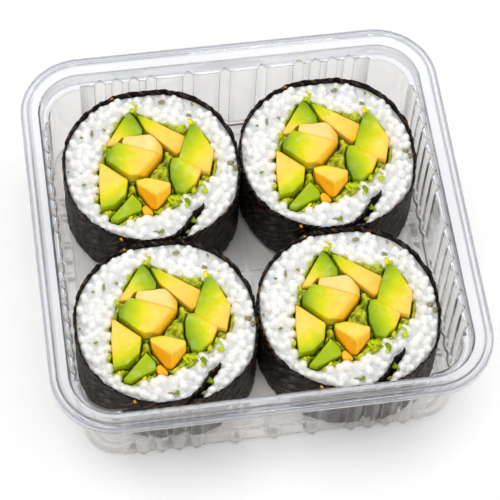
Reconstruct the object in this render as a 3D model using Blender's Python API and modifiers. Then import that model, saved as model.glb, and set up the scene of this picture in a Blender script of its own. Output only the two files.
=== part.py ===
"""Takeaway sushi tray: a clear thermoformed tray that holds four thick avocado rolls, cut face up.

Metres, +Z up. The origin is the middle of the tray's footprint, on the surface that the tray stands on.
+X runs along the tray's front edge and -Y is the side that faces the viewer.
"""

import math
import random

import bmesh
import bpy
from mathutils import Matrix, Vector

MM = 0.001

# Clearance between neighbouring pieces.
GAP = 0.3 * MM

# Faces that meet at less than this are one flat face.
FLAT_ANGLE = math.radians(0.5)

# Tray
TRAY_WIDTH = 136 * MM
TRAY_DEPTH = 133 * MM
TRAY_HEIGHT = 39 * MM
CORNER_RADIUS = 20 * MM
CORNER_STEPS = 6
SHEET_THICKNESS = 0.5 * MM

# The upper face of the sheet, from the turned-down skirt over the bead and the lid ledge to the shoulder:
# distance in from the outer edge, then distance down from the top of the rim.
RIM_PROFILE = [
    (0.0 * MM, 3.2 * MM),
    (0.1 * MM, 1.4 * MM),
    (0.8 * MM, 0.3 * MM),
    (1.7 * MM, 0.0 * MM),
    (2.6 * MM, 0.35 * MM),
    (3.1 * MM, 1.2 * MM),
    (5.9 * MM, 1.3 * MM),
    (6.4 * MM, 1.9 * MM),
    (6.9 * MM, 5.6 * MM),
]
SHOULDER_DROP = 5.8 * MM
SHOULDER_INSET = 8.1 * MM
WALL_FOOT_INSET = 8.3 * MM
WALL_FOOT_HEIGHT = 2.6 * MM
CORNER_STEP = 1.2 * MM
FOOT_OUTER_INSET = 9.5 * MM
FOOT_INNER_INSET = 12.0 * MM
PANEL_INSET = 12.7 * MM
PANEL_HEIGHT = 1.7 * MM
RIB_INSET = 22 * MM
RIB_HEIGHT = 0.8 * MM
RIB_HALF_TOP = 0.9 * MM
RIB_SLOPE = 0.7 * MM

# Flutes pressed outwards into the walls. The long walls have a few wide-spaced ones in the middle and a close
# group at each end, and the side walls have two close groups with a plain field between them.
FLUTE_DEPTH = 1.1 * MM
FLUTE_WIDTH = 2.8 * MM
FLUTE_FLAT = 0.5
END_GROUP_COUNT = 4
END_GROUP_PITCH = 5.6 * MM
MIDDLE_PITCH = 12.2 * MM
SIDE_GROUP_COUNT = 7
SIDE_GROUP_PITCH = 5.9 * MM
SIDE_FIELD = 14 * MM

# Rolls
ROLL_BOTTOM = 2.8 * MM
ROLL_TOP = 28.0 * MM
ROLL_SPACING_X = 57.2 * MM
ROLL_SPACING_Y = 56.5 * MM
GRID_TURN = math.radians(-2.4)
GRID_OFFSET = (-0.45 * MM, 0.4 * MM)

# Outer face of the nori, as degrees round the roll and the distance from its middle. The roll is pressed
# flatter towards its neighbours, and it bulges at the front right, where the sheet laps over itself.
ROLL_EDGE = [
    (0, 28.4 * MM),
    (20, 28.9 * MM),
    (50, 29.4 * MM),
    (72, 28.9 * MM),
    (90, 28.1 * MM),
    (108, 28.7 * MM),
    (150, 29.3 * MM),
    (180, 28.4 * MM),
    (198, 28.7 * MM),
    (250, 28.6 * MM),
    (270, 28.1 * MM),
    (289, 29.4 * MM),
    (325, 29.9 * MM),
    (346, 28.8 * MM),
]

# The nori sheet as a spiral that runs clockwise from its tucked-in edge: degrees swept from that edge,
# then how far the sheet's middle lies inside the roll's edge.
NORI_THICKNESS = 0.5 * MM
NORI_STEP = 8.5
NORI_START_ANGLE = -48.0
NORI_SPIRAL = [
    (0, 7.7 * MM),
    (12, 7.2 * MM),
    (21, 5.2 * MM),
    (30, 2.5 * MM),
    (36, 1.15 * MM),
    (45, NORI_THICKNESS / 2),
    (394, NORI_THICKNESS / 2),
]

# Where the rice starts, in degrees before the sheet's tucked-in edge.
RICE_START = -3.0

# Free side of the loose lobe of rice at the tucked-in edge, in the same terms as the spiral.
LOBE_SIDE = [
    (2, 6.9 * MM),
    (12, 5.2 * MM),
    (18, 3.4 * MM),
    (22, 1.5 * MM),
]

# Edge of the filling, as degrees round the roll and the distance from its middle.
FILLING_EDGE = [
    (0, 21.2 * MM),
    (28, 20.8 * MM),
    (42, 20.2 * MM),
    (56, 16.8 * MM),
    (74, 16.6 * MM),
    (90, 18.8 * MM),
    (104, 22.3 * MM),
    (122, 18.6 * MM),
    (160, 15.9 * MM),
    (178, 17.6 * MM),
    (197, 19.2 * MM),
    (218, 23.6 * MM),
    (234, 24.0 * MM),
    (255, 19.2 * MM),
    (280, 17.0 * MM),
    (308, 15.9 * MM),
    (328, 17.0 * MM),
    (343, 20.0 * MM),
]
FILLING_TOP = 26.6 * MM

# Avocado strips that run through the roll: the corners of the cut end in millimetres from the middle
# of the roll, the height of the top over the roll's, and the top's slope along X and Y.
STRIPS = {
    "back_left": (
        [(-5.2, 20.8), (-3.7, 19.0), (-1.6, 13.6), (-1.9, 11.2), (-8.4, 11.2), (-10.6, 9.0), (-12.9, 9.3)],
        -0.2, -0.03, 0.02,
    ),
    "middle_pale": (
        [(-8.6, 7.75), (-7.6, 10.2), (0.8, 10.0), (4.2, 6.2), (3.7, 2.6)],
        1.6, 0.0, 0.02,
    ),
    "middle_large": (
        [(-10.2, 8.0), (3.5, 2.3), (-2.8, -4.2), (-7.4, -4.2), (-14.3, 2.4), (-13.7, 4.8)],
        1.9, 0.03, 0.04,
    ),
    "left": (
        [(-16.4, 2.2), (-15.6, 1.8), (-8.4, -5.2), (-9.6, -10.2), (-13.6, -13.6), (-17.9, -14.2),
         (-17.4, -5.0)],
        0.4, -0.02, 0.03,
    ),
    "front_left": (
        [(-7.6, -11.0), (-5.4, -14.2), (-5.8, -15.8), (-13.0, -18.8), (-14.9, -17.8)],
        -0.6, 0.02, 0.05,
    ),
    "front_middle": (
        [(-5.6, -6.2), (-2.0, -5.8), (4.9, -8.4), (4.7, -11.2), (-0.2, -15.9), (-1.8, -15.2), (-5.2, -9.4)],
        1.2, 0.0, 0.10,
    ),
    "front_small": (
        [(-4.9, -15.4), (-3.6, -14.4), (-2.2, -16.4), (-1.6, -17.6), (-4.4, -17.6)],
        -0.8, 0.0, 0.06,
    ),
    "back_slab": (
        [(-2.4, 19.0), (0.2, 17.9), (11.9, 8.9), (9.6, 3.4), (8.4, 2.9), (-0.2, 12.9)],
        0.1, 0.02, 0.01,
    ),
    "right": (
        [(14.8, 12.8), (16.8, 11.0), (20.2, 1.9), (18.0, -5.2), (16.2, -4.7), (9.7, 0.8), (12.4, 7.4)],
        0.6, -0.05, 0.02,
    ),
    "right_lower": (
        [(7.0, 1.0), (9.0, 0.9), (15.5, -4.4), (13.2, -8.6), (9.2, -11.8), (6.6, -11.0), (5.6, -6.0),
         (5.9, -1.5)],
        0.5, 0.03, 0.03,
    ),
}
STRIP_CHAMFER = 0.45 * MM

# How far the prisms that cut the strips' channels reach past the mash, and the sharpest corner, as the
# mitre's share, that keeps its full width when they are grown.
CHANNEL_OVERLAP = 5 * MM
MITRE_LIMIT = 0.5

# Lumps of mashed avocado between the strips: place and radius in millimetres.
MASH_LUMPS = [
    (4.0, -1.2, 2.4),
    (3.4, -4.8, 2.0),
    (1.8, 11.4, 1.8),
    (7.2, -12.2, 1.5),
]
LUMP_RISE = 1.3 * MM

# Rice
RICE_CORE_TOP = 27.0 * MM
GRAIN_COUNT = 48
GRAIN_HALF_LENGTH = 2.6 * MM
GRAIN_HALF_WIDTH = 1.4 * MM
GRAIN_RISE = (0.9 * MM, 1.4 * MM)
GRAIN_SPACING = 4.0 * MM
GRAIN_SEED = 11
GRAIN_TRIES = 60000

# A grain is kept where these shares of its outline, each tested at this many points, lie on rice.
GRAIN_TEST_RINGS = (0.35, 0.7, 1.0)
GRAIN_TEST_POINTS = 16

# name: (colour, roughness, metallic)
FINISHES = {
    "tray": ((0.90, 0.92, 0.93, 1.0), 0.08, 0.0),
    "nori": ((0.020, 0.022, 0.016, 1.0), 0.55, 0.0),
    "rice": ((0.86, 0.87, 0.84, 1.0), 0.35, 0.0),
    "avocado": ((0.86, 0.74, 0.22, 1.0), 0.45, 0.0),
    "mash": ((0.45, 0.58, 0.06, 1.0), 0.40, 0.0),
}


# Scene helpers


def clear_scene():
    """Remove every object, so that the script runs in any open file."""
    for obj in list(bpy.data.objects):
        bpy.data.objects.remove(obj, do_unlink=True)


def new_collection(name):
    collection = bpy.data.collections.new(name)
    bpy.context.scene.collection.children.link(collection)
    return collection


def make_materials():
    """One Principled material for each finish."""
    made = {}
    for name, (colour, roughness, metallic) in FINISHES.items():
        material = bpy.data.materials.new(name)
        material.use_nodes = True
        shader = material.node_tree.nodes["Principled BSDF"]
        shader.inputs["Base Color"].default_value = colour
        shader.inputs["Roughness"].default_value = roughness
        shader.inputs["Metallic"].default_value = metallic
        material.diffuse_color = colour
        made[name] = material
    return made


def object_from_bmesh(name, bm, collection, material=None):
    """A named object that holds the bmesh, whose faces are first made to point outwards."""
    bmesh.ops.recalc_face_normals(bm, faces=bm.faces)
    mesh = bpy.data.meshes.new(name)
    bm.to_mesh(mesh)
    bm.free()
    obj = bpy.data.objects.new(name, mesh)
    collection.objects.link(obj)
    if material:
        mesh.materials.append(material)
    return obj


def hide_helper(obj):
    obj.hide_render = True
    obj.display_type = "WIRE"
    return obj


def bake_modifiers(obj):
    """Replace the object's mesh by the one that its modifiers make."""
    graph = bpy.context.evaluated_depsgraph_get()
    made = bpy.data.meshes.new_from_object(obj.evaluated_get(graph))
    obj.modifiers.clear()
    obj.data = made


def join_with(obj, collection, operation):
    """Apply one Boolean of the whole collection to the object, then drop the collection's objects."""
    boolean = obj.modifiers.new(operation.lower(), "BOOLEAN")
    boolean.operand_type = "COLLECTION"
    boolean.collection = collection
    boolean.operation = operation
    boolean.solver = "EXACT"
    bake_modifiers(obj)
    for helper in list(collection.objects):
        bpy.data.objects.remove(helper, do_unlink=True)
    bpy.data.collections.remove(collection)


def merge_flat_faces(bm):
    """Join neighbouring faces of one plane, and drop the corners that this leaves in straight edges."""
    bmesh.ops.dissolve_limit(bm, angle_limit=FLAT_ANGLE, verts=bm.verts, edges=bm.edges)


def tidy_after_join(mesh):
    """Drop the loose scraps that a cut leaves, and the edges that it leaves in flat faces."""
    bm = bmesh.new()
    bm.from_mesh(mesh)
    unseen = set(bm.verts)
    pieces = []
    while unseen:
        piece = {unseen.pop()}
        edge_of_piece = list(piece)
        while edge_of_piece:
            vert = edge_of_piece.pop()
            for edge in vert.link_edges:
                other = edge.other_vert(vert)
                if other in unseen:
                    unseen.remove(other)
                    piece.add(other)
                    edge_of_piece.append(other)
        pieces.append(piece)
    pieces.sort(key=len)
    scraps = [vert for piece in pieces[:-1] for vert in piece]
    bmesh.ops.delete(bm, geom=scraps, context="VERTS")
    merge_flat_faces(bm)
    bm.to_mesh(mesh)
    bm.free()


def lying_ellipsoid(name, place, half_size, collection):
    """An ellipsoid along its own X of six sides and three rings, widest at its middle and flat on top."""
    bm = bmesh.new()
    lying = Matrix.Rotation(math.pi / 2, 4, "Y") @ Matrix.Rotation(math.pi / 2, 4, "Z")
    shape = place @ Matrix.Diagonal((*half_size, 1)) @ lying
    bmesh.ops.create_uvsphere(bm, u_segments=6, v_segments=3, radius=1.0, matrix=shape)
    return object_from_bmesh(name, bm, collection)


def prism(name, outline, bottom, top, collection, material=None):
    """An upright prism on a flat outline."""
    bm = bmesh.new()
    base = bm.faces.new([bm.verts.new((x, y, bottom)) for x, y in outline])
    lifted = bmesh.ops.extrude_face_region(bm, geom=[base])["geom"]
    for vert in (item for item in lifted if isinstance(item, bmesh.types.BMVert)):
        vert.co.z = top
    return object_from_bmesh(name, bm, collection, material)


# Tray


def corner_points(inset):
    """The four rounded corners at this inset, as lists of points, anticlockwise from the front right."""
    half_x = TRAY_WIDTH / 2 - CORNER_RADIUS
    half_y = TRAY_DEPTH / 2 - CORNER_RADIUS
    radius = CORNER_RADIUS - inset
    corners = []
    for turn, (sign_x, sign_y) in enumerate(((1, -1), (1, 1), (-1, 1), (-1, -1))):
        start = math.radians(90 * turn - 90)
        angles = [start + math.radians(90 * step / CORNER_STEPS) for step in range(CORNER_STEPS + 1)]
        corners.append(
            [(sign_x * half_x + radius * math.cos(a), sign_y * half_y + radius * math.sin(a)) for a in angles]
        )
    return corners


def wall_flutes():
    """Places of the flutes along the right, back, left and front walls."""
    half_field = SIDE_FIELD / 2
    side = [half_field + i * SIDE_GROUP_PITCH for i in range(SIDE_GROUP_COUNT)]
    side = [-place for place in side] + side
    long = [0.0, MIDDLE_PITCH, -MIDDLE_PITCH]
    for i in range(END_GROUP_COUNT):
        place = 2 * MIDDLE_PITCH + i * END_GROUP_PITCH
        long += [place, -place]
    return [sorted(side), sorted(long), sorted(side), sorted(long)]


def plain_loop(bm, inset, height):
    return [[bm.verts.new((x, y, height)) for x, y in corner] for corner in corner_points(inset)]


def fluted_loop(bm, inset, height):
    """As plain_loop, but stepped in at the corners, and with the flutes' points on each straight side."""
    straight = corner_points(inset)
    stepped = corner_points(inset + CORNER_STEP)
    loop = []
    for index, flutes in enumerate(wall_flutes()):
        loop.append([bm.verts.new((x, y, height)) for x, y in stepped[index]])
        start = Vector((*straight[index][-1], height))
        end = Vector((*straight[(index + 1) % 4][0], height))
        along = (end - start).normalized()
        outward = Vector((along.y, -along.x, 0))
        middle = (start + end) / 2
        side = [bm.verts.new(start + along * CORNER_STEP)]
        for place in flutes:
            for share, push in ((-0.5, 0.0), (-FLUTE_FLAT / 2, 1.0), (FLUTE_FLAT / 2, 1.0), (0.5, 0.0)):
                offset = along * (place + share * FLUTE_WIDTH) + outward * FLUTE_DEPTH * push
                side.append(bm.verts.new(middle + offset))
        side.append(bm.verts.new(end - along * CORNER_STEP))
        loop.append(side)
    return loop


def bridge_plain(bm, first, second):
    """Quads between two loops of the same count."""
    first = [vert for part in first for vert in part]
    second = [vert for part in second for vert in part]
    for i in range(len(first)):
        j = (i + 1) % len(first)
        bm.faces.new((first[i], first[j], second[j], second[i]))


def bridge_to_fluted(bm, plain, fluted):
    """A ring between a plain loop and a fluted one: quads at the corners, and one face on each side."""
    for index in range(4):
        corner, fine = plain[index], fluted[2 * index]
        for i in range(CORNER_STEPS):
            bm.faces.new((corner[i], corner[i + 1], fine[i + 1], fine[i]))
        following = plain[(index + 1) % 4][0], fluted[(2 * index + 2) % 8][0]
        flutes = list(reversed(fluted[2 * index + 1]))
        bm.faces.new([corner[-1], following[0], following[1], *flutes, fine[-1]])


def ribbed_floor(bm, edge_loop):
    """The floor panel: a flat ring round a rectangle that a low cross-shaped rib divides."""
    half = Vector((TRAY_WIDTH / 2 - RIB_INSET, TRAY_DEPTH / 2 - RIB_INSET))
    foot = RIB_HALF_TOP + RIB_SLOPE
    marks = []
    for reach in half:
        positive = [RIB_HALF_TOP, foot, reach - RIB_SLOPE, reach]
        marks.append([-m for m in reversed(positive)] + positive)
    grid = []
    for x in marks[0]:
        row = []
        for y in marks[1]:
            inside = abs(x) <= half.x - RIB_SLOPE and abs(y) <= half.y - RIB_SLOPE
            raised = inside and min(abs(x), abs(y)) <= RIB_HALF_TOP
            row.append(bm.verts.new((x, y, PANEL_HEIGHT + RIB_HEIGHT * raised)))
        grid.append(row)
    last = len(grid) - 1
    for i in range(last):
        for j in range(last):
            bm.faces.new((grid[i][j], grid[i + 1][j], grid[i + 1][j + 1], grid[i][j + 1]))
    right = grid[last]
    back = [grid[i][last] for i in reversed(range(last + 1))]
    left = list(reversed(grid[0]))
    front = [grid[i][0] for i in range(last + 1)]
    middle = CORNER_STEPS // 2
    for index, side in enumerate((right, back, left, front)):
        outer = edge_loop[index][middle:] + edge_loop[(index + 1) % 4][: middle + 1]
        bm.faces.new(outer + list(reversed(side)))


def build_tray(collection, material):
    """The whole tray as one open sheet, which Solidify thickens downwards and outwards."""
    bm = bmesh.new()
    loops = [plain_loop(bm, inset, TRAY_HEIGHT - drop) for inset, drop in RIM_PROFILE]
    for upper, lower in zip(loops, loops[1:]):
        bridge_plain(bm, upper, lower)
    wall_top = fluted_loop(bm, SHOULDER_INSET, TRAY_HEIGHT - SHOULDER_DROP)
    wall_foot = fluted_loop(bm, WALL_FOOT_INSET, WALL_FOOT_HEIGHT)
    foot_outer = plain_loop(bm, FOOT_OUTER_INSET, SHEET_THICKNESS)
    foot_inner = plain_loop(bm, FOOT_INNER_INSET, SHEET_THICKNESS)
    panel_edge = plain_loop(bm, PANEL_INSET, PANEL_HEIGHT)
    bridge_to_fluted(bm, loops[-1], wall_top)
    bridge_plain(bm, wall_top, wall_foot)
    bridge_to_fluted(bm, foot_outer, wall_foot)
    bridge_plain(bm, foot_outer, foot_inner)
    bridge_plain(bm, foot_inner, panel_edge)
    ribbed_floor(bm, panel_edge)
    tray = object_from_bmesh("tray", bm, collection, material)
    if max(tray.data.polygons, key=lambda face: face.area).normal.z < 0:
        tray.data.flip_normals()
    solidify = tray.modifiers.new("sheet", "SOLIDIFY")
    solidify.thickness = SHEET_THICKNESS
    solidify.offset = -1
    solidify.use_even_offset = True
    bake_modifiers(tray)
    for vert in tray.data.vertices:
        if vert.co.z < SHEET_THICKNESS / 2:
            vert.co.z = 0.0
    return tray


# Roll


def polar(angle_degrees, radius):
    angle = math.radians(angle_degrees)
    return radius * math.cos(angle), radius * math.sin(angle)


def between(table, value, ease=False):
    """Read a table of (place, size) at this place, in straight or eased lines between its rows."""
    for (low, size_low), (high, size_high) in zip(table, table[1:]):
        if value <= high:
            share = (value - low) / (high - low)
            if ease:
                share = share * share * (3 - 2 * share)
            return size_low + share * (size_high - size_low)
    return table[-1][1]


def round_the_roll(table, angle, ease=False):
    """Read a table of (degrees, distance) that closes on itself, in straight or eased lines."""
    closed = table + [(table[0][0] + 360, table[0][1])]
    return between(closed, angle % 360, ease)


def sheet_inset(sweep):
    return between(NORI_SPIRAL, sweep)


def nori_point(sweep, inset):
    """A point this far inside the roll's edge, at this sweep from the nori's tucked-in edge."""
    angle = NORI_START_ANGLE - sweep
    return polar(angle, round_the_roll(ROLL_EDGE, angle, ease=True) - inset)


def sweeps(start, end, step=NORI_STEP):
    """Even steps from start to end, both included."""
    count = max(1, round(abs(end - start) / step))
    return [start + (end - start) * i / count for i in range(count + 1)]


def build_nori(collection, material):
    """The nori as one upright strip on its spiral, thickened to both sides."""
    bends = [row[0] for row in NORI_SPIRAL]
    stops = bends[:-1] + sweeps(bends[-2], bends[-1])[1:]
    bm = bmesh.new()
    rails = []
    for sweep in stops:
        x, y = nori_point(sweep, sheet_inset(sweep))
        rails.append((bm.verts.new((x, y, ROLL_BOTTOM)), bm.verts.new((x, y, ROLL_TOP))))
    for (low, high), (next_low, next_high) in zip(rails, rails[1:]):
        bm.faces.new((low, next_low, next_high, high))
    nori = object_from_bmesh("nori", bm, collection, material)
    solidify = nori.modifiers.new("thickness", "SOLIDIFY")
    solidify.thickness = NORI_THICKNESS
    solidify.offset = 0
    solidify.use_even_offset = True
    return nori


def rice_outer_edge():
    """The rice's edge: clockwise inside the nori to the loose lobe, and back along the lobe's free side."""
    clear = NORI_THICKNESS / 2 + GAP
    lobe_tip = LOBE_SIDE[-1][0]
    tuck = [row[0] for row in NORI_SPIRAL[:-1]]
    edge = [nori_point(RICE_START, NORI_SPIRAL[0][1])]
    for sweep in tuck + sweeps(tuck[-1], 360 + lobe_tip)[1:]:
        edge.append(nori_point(sweep, sheet_inset(sweep) + clear))
    for sweep, inset in reversed(LOBE_SIDE):
        edge.append(nori_point(sweep, inset))
    return edge


def filling_outline(clear=0.0):
    return [polar(angle, radius + clear) for angle, radius in FILLING_EDGE]


def inside_rice(x, y):
    """Whether a point of the cut face lies on rice, clear of the nori and the filling."""
    radius = math.hypot(x, y)
    angle = math.degrees(math.atan2(y, x))
    if radius < round_the_roll(FILLING_EDGE, angle) + GAP:
        return False
    sweep = (NORI_START_ANGLE - angle) % 360
    inset = round_the_roll(ROLL_EDGE, angle, ease=True) - radius
    clear = NORI_THICKNESS / 2 + GAP
    outer_wrap = sheet_inset(360) + clear
    if sweep < LOBE_SIDE[-1][0] and outer_wrap < inset < between(LOBE_SIDE, sweep):
        return True
    return inset > sheet_inset(sweep) + clear


def grain_fits(x, y, turn):
    """Whether a lying grain's outline stays on the rice."""
    for ring in GRAIN_TEST_RINGS:
        for step in range(GRAIN_TEST_POINTS):
            angle = 2 * math.pi * step / GRAIN_TEST_POINTS
            along = ring * GRAIN_HALF_LENGTH * math.cos(angle)
            across = ring * GRAIN_HALF_WIDTH * math.sin(angle)
            px = x + along * math.cos(turn) - across * math.sin(turn)
            py = y + along * math.sin(turn) + across * math.cos(turn)
            if not inside_rice(px, py):
                return False
    return True


def scatter_grains():
    """Seeded places and turns of the grains, spread over the cut face and never too near each other."""
    draw = random.Random(GRAIN_SEED)
    placed = []
    for _ in range(GRAIN_TRIES):
        if len(placed) == GRAIN_COUNT:
            break
        x = draw.uniform(-1, 1) * ROLL_SPACING_X / 2
        y = draw.uniform(-1, 1) * ROLL_SPACING_Y / 2
        turn = draw.uniform(0, math.pi)
        near = any(math.hypot(x - px, y - py) < GRAIN_SPACING for px, py, _ in placed)
        if not near and grain_fits(x, y, turn):
            placed.append((x, y, turn))
    return placed


def build_rice(collection, material):
    """The rice as a ring-shaped core with the grains of the cut face fused on."""
    bm = bmesh.new()
    outer = [bm.verts.new((x, y, ROLL_BOTTOM)) for x, y in rice_outer_edge()]
    inner = [bm.verts.new((x, y, ROLL_BOTTOM)) for x, y in filling_outline(GAP)]
    edges = []
    for ring in (outer, inner):
        edges += [bm.edges.new((ring[i], ring[(i + 1) % len(ring)])) for i in range(len(ring))]
    filled = bmesh.ops.triangle_fill(bm, edges=edges, use_beauty=True)["geom"]
    faces = [item for item in filled if isinstance(item, bmesh.types.BMFace)]
    lifted = bmesh.ops.extrude_face_region(bm, geom=faces)["geom"]
    for vert in (item for item in lifted if isinstance(item, bmesh.types.BMVert)):
        vert.co.z = RICE_CORE_TOP
    merge_flat_faces(bm)
    rice = object_from_bmesh("rice", bm, collection, material)

    grains = new_collection("grains")
    draw = random.Random(GRAIN_SEED + 1)
    for x, y, turn in scatter_grains():
        place = Matrix.Translation((x, y, RICE_CORE_TOP)) @ Matrix.Rotation(turn, 4, "Z")
        half_size = (GRAIN_HALF_LENGTH, GRAIN_HALF_WIDTH, draw.uniform(*GRAIN_RISE))
        hide_helper(lying_ellipsoid("grain", place, half_size, grains))
    join_with(rice, grains, "UNION")
    tidy_after_join(rice.data)
    return rice


def grown(outline, by):
    """The outline pushed outwards by this much at its corners."""
    count = len(outline)
    middle = Vector((0, 0))
    for point in outline:
        middle += Vector(point) / count
    pushed = []
    for i in range(count):
        before, here, after = (Vector(outline[(i + k) % count]) for k in (-1, 0, 1))
        first = (here - before).normalized().orthogonal()
        second = (after - here).normalized().orthogonal()
        inward = (here - middle).dot(first + second) < 0
        mitre = (first + second).normalized() * (-1 if inward else 1)
        pushed.append(tuple(here + mitre * by / max(MITRE_LIMIT, abs(mitre.dot(first)))))
    return pushed


def strip_outline(name):
    return [(x * MM, y * MM) for x, y in STRIPS[name][0]]


def build_strip(name, collection, material):
    """One strip of avocado: a prism with a chamfered, slightly sloping top."""
    _, lift, slope_x, slope_y = STRIPS[name]
    outline = strip_outline(name)
    middle_x = sum(x for x, _ in outline) / len(outline)
    middle_y = sum(y for _, y in outline) / len(outline)
    top = ROLL_TOP + lift * MM
    strip = prism(name, outline, ROLL_BOTTOM, top, collection, material)
    bm = bmesh.new()
    bm.from_mesh(strip.data)
    edges = [edge for edge in bm.edges if min(vert.co.z for vert in edge.verts) > top - GAP]
    bmesh.ops.bevel(bm, geom=edges, offset=STRIP_CHAMFER, segments=1, affect="EDGES", profile=0.5)
    for vert in bm.verts:
        if vert.co.z > top - 2 * STRIP_CHAMFER:
            vert.co.z += slope_x * (vert.co.x - middle_x) + slope_y * (vert.co.y - middle_y)
    bm.to_mesh(strip.data)
    bm.free()
    return strip


def build_mash(collection, material):
    """The mashed avocado that fills the space between the strips."""
    mash = prism("mash", filling_outline(), ROLL_BOTTOM, FILLING_TOP, collection, material)
    lumps = new_collection("lumps")
    for x, y, radius in MASH_LUMPS:
        place = Matrix.Translation((x * MM, y * MM, FILLING_TOP)) @ Matrix.Rotation(x + y, 4, "Z")
        half_size = (radius * MM, radius * MM, LUMP_RISE)
        hide_helper(lying_ellipsoid("lump", place, half_size, lumps))
    join_with(mash, lumps, "UNION")
    cutters = new_collection("cutters")
    for name in STRIPS:
        outline = grown(strip_outline(name), GAP)
        bottom, top = ROLL_BOTTOM - CHANNEL_OVERLAP, ROLL_TOP + CHANNEL_OVERLAP
        hide_helper(prism("cutter", outline, bottom, top, cutters))
    join_with(mash, cutters, "DIFFERENCE")
    tidy_after_join(mash.data)
    return mash


def roll_centres():
    """Name and place of each roll, on a grid that lies slightly turned in the tray."""
    turn = Matrix.Rotation(GRID_TURN, 2)
    centres = {}
    for row, sign_y in (("back", 1), ("front", -1)):
        for column, sign_x in (("left", -1), ("right", 1)):
            place = turn @ Vector((sign_x * ROLL_SPACING_X / 2, sign_y * ROLL_SPACING_Y / 2))
            place += Vector(GRID_OFFSET)
            centres[f"{row}_{column}"] = place
    return centres


def build_rolls(collection, materials):
    """One roll is modelled, and its pieces are shared by four rolls."""
    pattern = {
        "nori": build_nori(collection, materials["nori"]),
        "rice": build_rice(collection, materials["rice"]),
        "mash": build_mash(collection, materials["mash"]),
    }
    for name in STRIPS:
        pattern[f"avocado_{name}"] = build_strip(name, collection, materials["avocado"])
    for roll, place in roll_centres().items():
        for piece, source in pattern.items():
            copy = source.copy()
            copy.name = f"{roll}.{piece}"
            copy.location = (place.x, place.y, 0)
            collection.objects.link(copy)
    for source in pattern.values():
        bpy.data.objects.remove(source, do_unlink=True)


def main():
    clear_scene()
    collection = new_collection("takeaway_sushi_tray")
    materials = make_materials()
    build_tray(collection, materials["tray"])
    build_rolls(collection, materials)


main()
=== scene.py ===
# %% [markdown]
# # A takeaway tray with four sushi rolls
#
# A square tray of clear plastic sheet holds four thick rolls that stand on end. The solid model gives the
# places and the sizes. This script dresses it: each solid is replaced by a piece that has the same form
# with the real surface, and each finish is a material built from nodes.

import math
import random

import bmesh
import bpy
from mathutils import Matrix, Vector, noise


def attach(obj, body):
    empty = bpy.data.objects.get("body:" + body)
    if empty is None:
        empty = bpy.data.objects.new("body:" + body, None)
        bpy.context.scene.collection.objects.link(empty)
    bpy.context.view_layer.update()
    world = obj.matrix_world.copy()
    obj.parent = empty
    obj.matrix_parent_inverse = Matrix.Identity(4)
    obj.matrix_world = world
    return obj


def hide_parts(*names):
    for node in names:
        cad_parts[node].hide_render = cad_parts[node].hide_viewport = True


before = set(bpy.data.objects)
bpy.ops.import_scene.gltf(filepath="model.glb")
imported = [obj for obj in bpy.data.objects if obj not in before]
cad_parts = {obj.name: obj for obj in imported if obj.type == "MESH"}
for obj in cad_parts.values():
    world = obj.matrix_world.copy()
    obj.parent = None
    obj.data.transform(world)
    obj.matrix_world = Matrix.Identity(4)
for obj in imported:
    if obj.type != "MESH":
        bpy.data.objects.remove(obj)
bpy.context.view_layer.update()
MM = 0.001

# %% [markdown]
# ## The camera
#
# The tray is seen from the front and well above, with the camera tipped a few degrees to one side. The
# angles and the distance were found by matching the rim, the base and the four roll tops. Blender's
# camera looks along its own -Z, so its matrix is filled from three directions: right, up and back.

# %% Camera
AZIMUTH, ELEVATION, ROLL = (math.radians(a) for a in (-11.55, 61.245, 3.836))
TARGET = Vector((0, 0, 17 * MM))
DISTANCE = 696.1 * MM
FOCAL_PIXELS = 2168.4
PICTURE_PIXELS = 500
SENSOR = 36.0
AIM_RIGHT, AIM_UP = 0.26 * MM, 0.47 * MM

back = Vector(
    (
        math.sin(AZIMUTH) * math.cos(ELEVATION),
        -math.cos(AZIMUTH) * math.cos(ELEVATION),
        math.sin(ELEVATION),
    )
)
level_right = (-back).cross(Vector((0, 0, 1))).normalized()
level_up = level_right.cross(-back)
right = math.cos(ROLL) * level_right + math.sin(ROLL) * level_up
up = math.cos(ROLL) * level_up - math.sin(ROLL) * level_right
place = TARGET + back * DISTANCE + right * AIM_RIGHT + up * AIM_UP

camera = bpy.data.objects.new("camera", bpy.data.cameras.new("camera"))
bpy.context.scene.collection.objects.link(camera)
camera.matrix_world = Matrix(
    [[right[i], up[i], back[i], place[i]] for i in range(3)] + [[0, 0, 0, 1]]
)
camera.data.sensor_width = SENSOR
camera.data.lens = FOCAL_PIXELS / PICTURE_PIXELS * SENSOR
camera.data.clip_start = 0.01
bpy.context.scene.camera = camera
print("lens in mm:", round(camera.data.lens, 1), "distance in mm:", DISTANCE / MM)

# %% [markdown]
# ## Small helpers
#
# Three things come back all the way through: turning a colour as seen on a screen into the linear numbers
# that a shader works with, adding a node with its inputs in one line, and making an object from a mesh.

# %% Helpers
def colour(red, green, blue):
    """A screen colour, 0 to 255, as linear numbers with full alpha."""
    linear = []
    for channel in (red, green, blue):
        share = channel / 255
        linear.append(share / 12.92 if share <= 0.04045 else ((share + 0.055) / 1.055) ** 2.4)
    return (*linear, 1.0)


def add_node(tree, kind, inputs=None, **settings):
    """A node with its settings, and with each named or numbered input set or linked."""
    made = tree.nodes.new(kind)
    for name, value in settings.items():
        setattr(made, name, value)
    for key, value in (inputs or {}).items():
        socket = made.inputs[key]
        if isinstance(value, bpy.types.NodeSocket):
            tree.links.new(value, socket)
        else:
            socket.default_value = value
    return made


def new_material(name):
    """An empty material with one Principled shader on its output."""
    material = bpy.data.materials.new(name)
    material.use_nodes = True
    tree = material.node_tree
    tree.nodes.clear()
    shader = tree.nodes.new("ShaderNodeBsdfPrincipled")
    output = tree.nodes.new("ShaderNodeOutputMaterial")
    tree.links.new(shader.outputs[0], output.inputs["Surface"])
    return material, tree, shader


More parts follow.
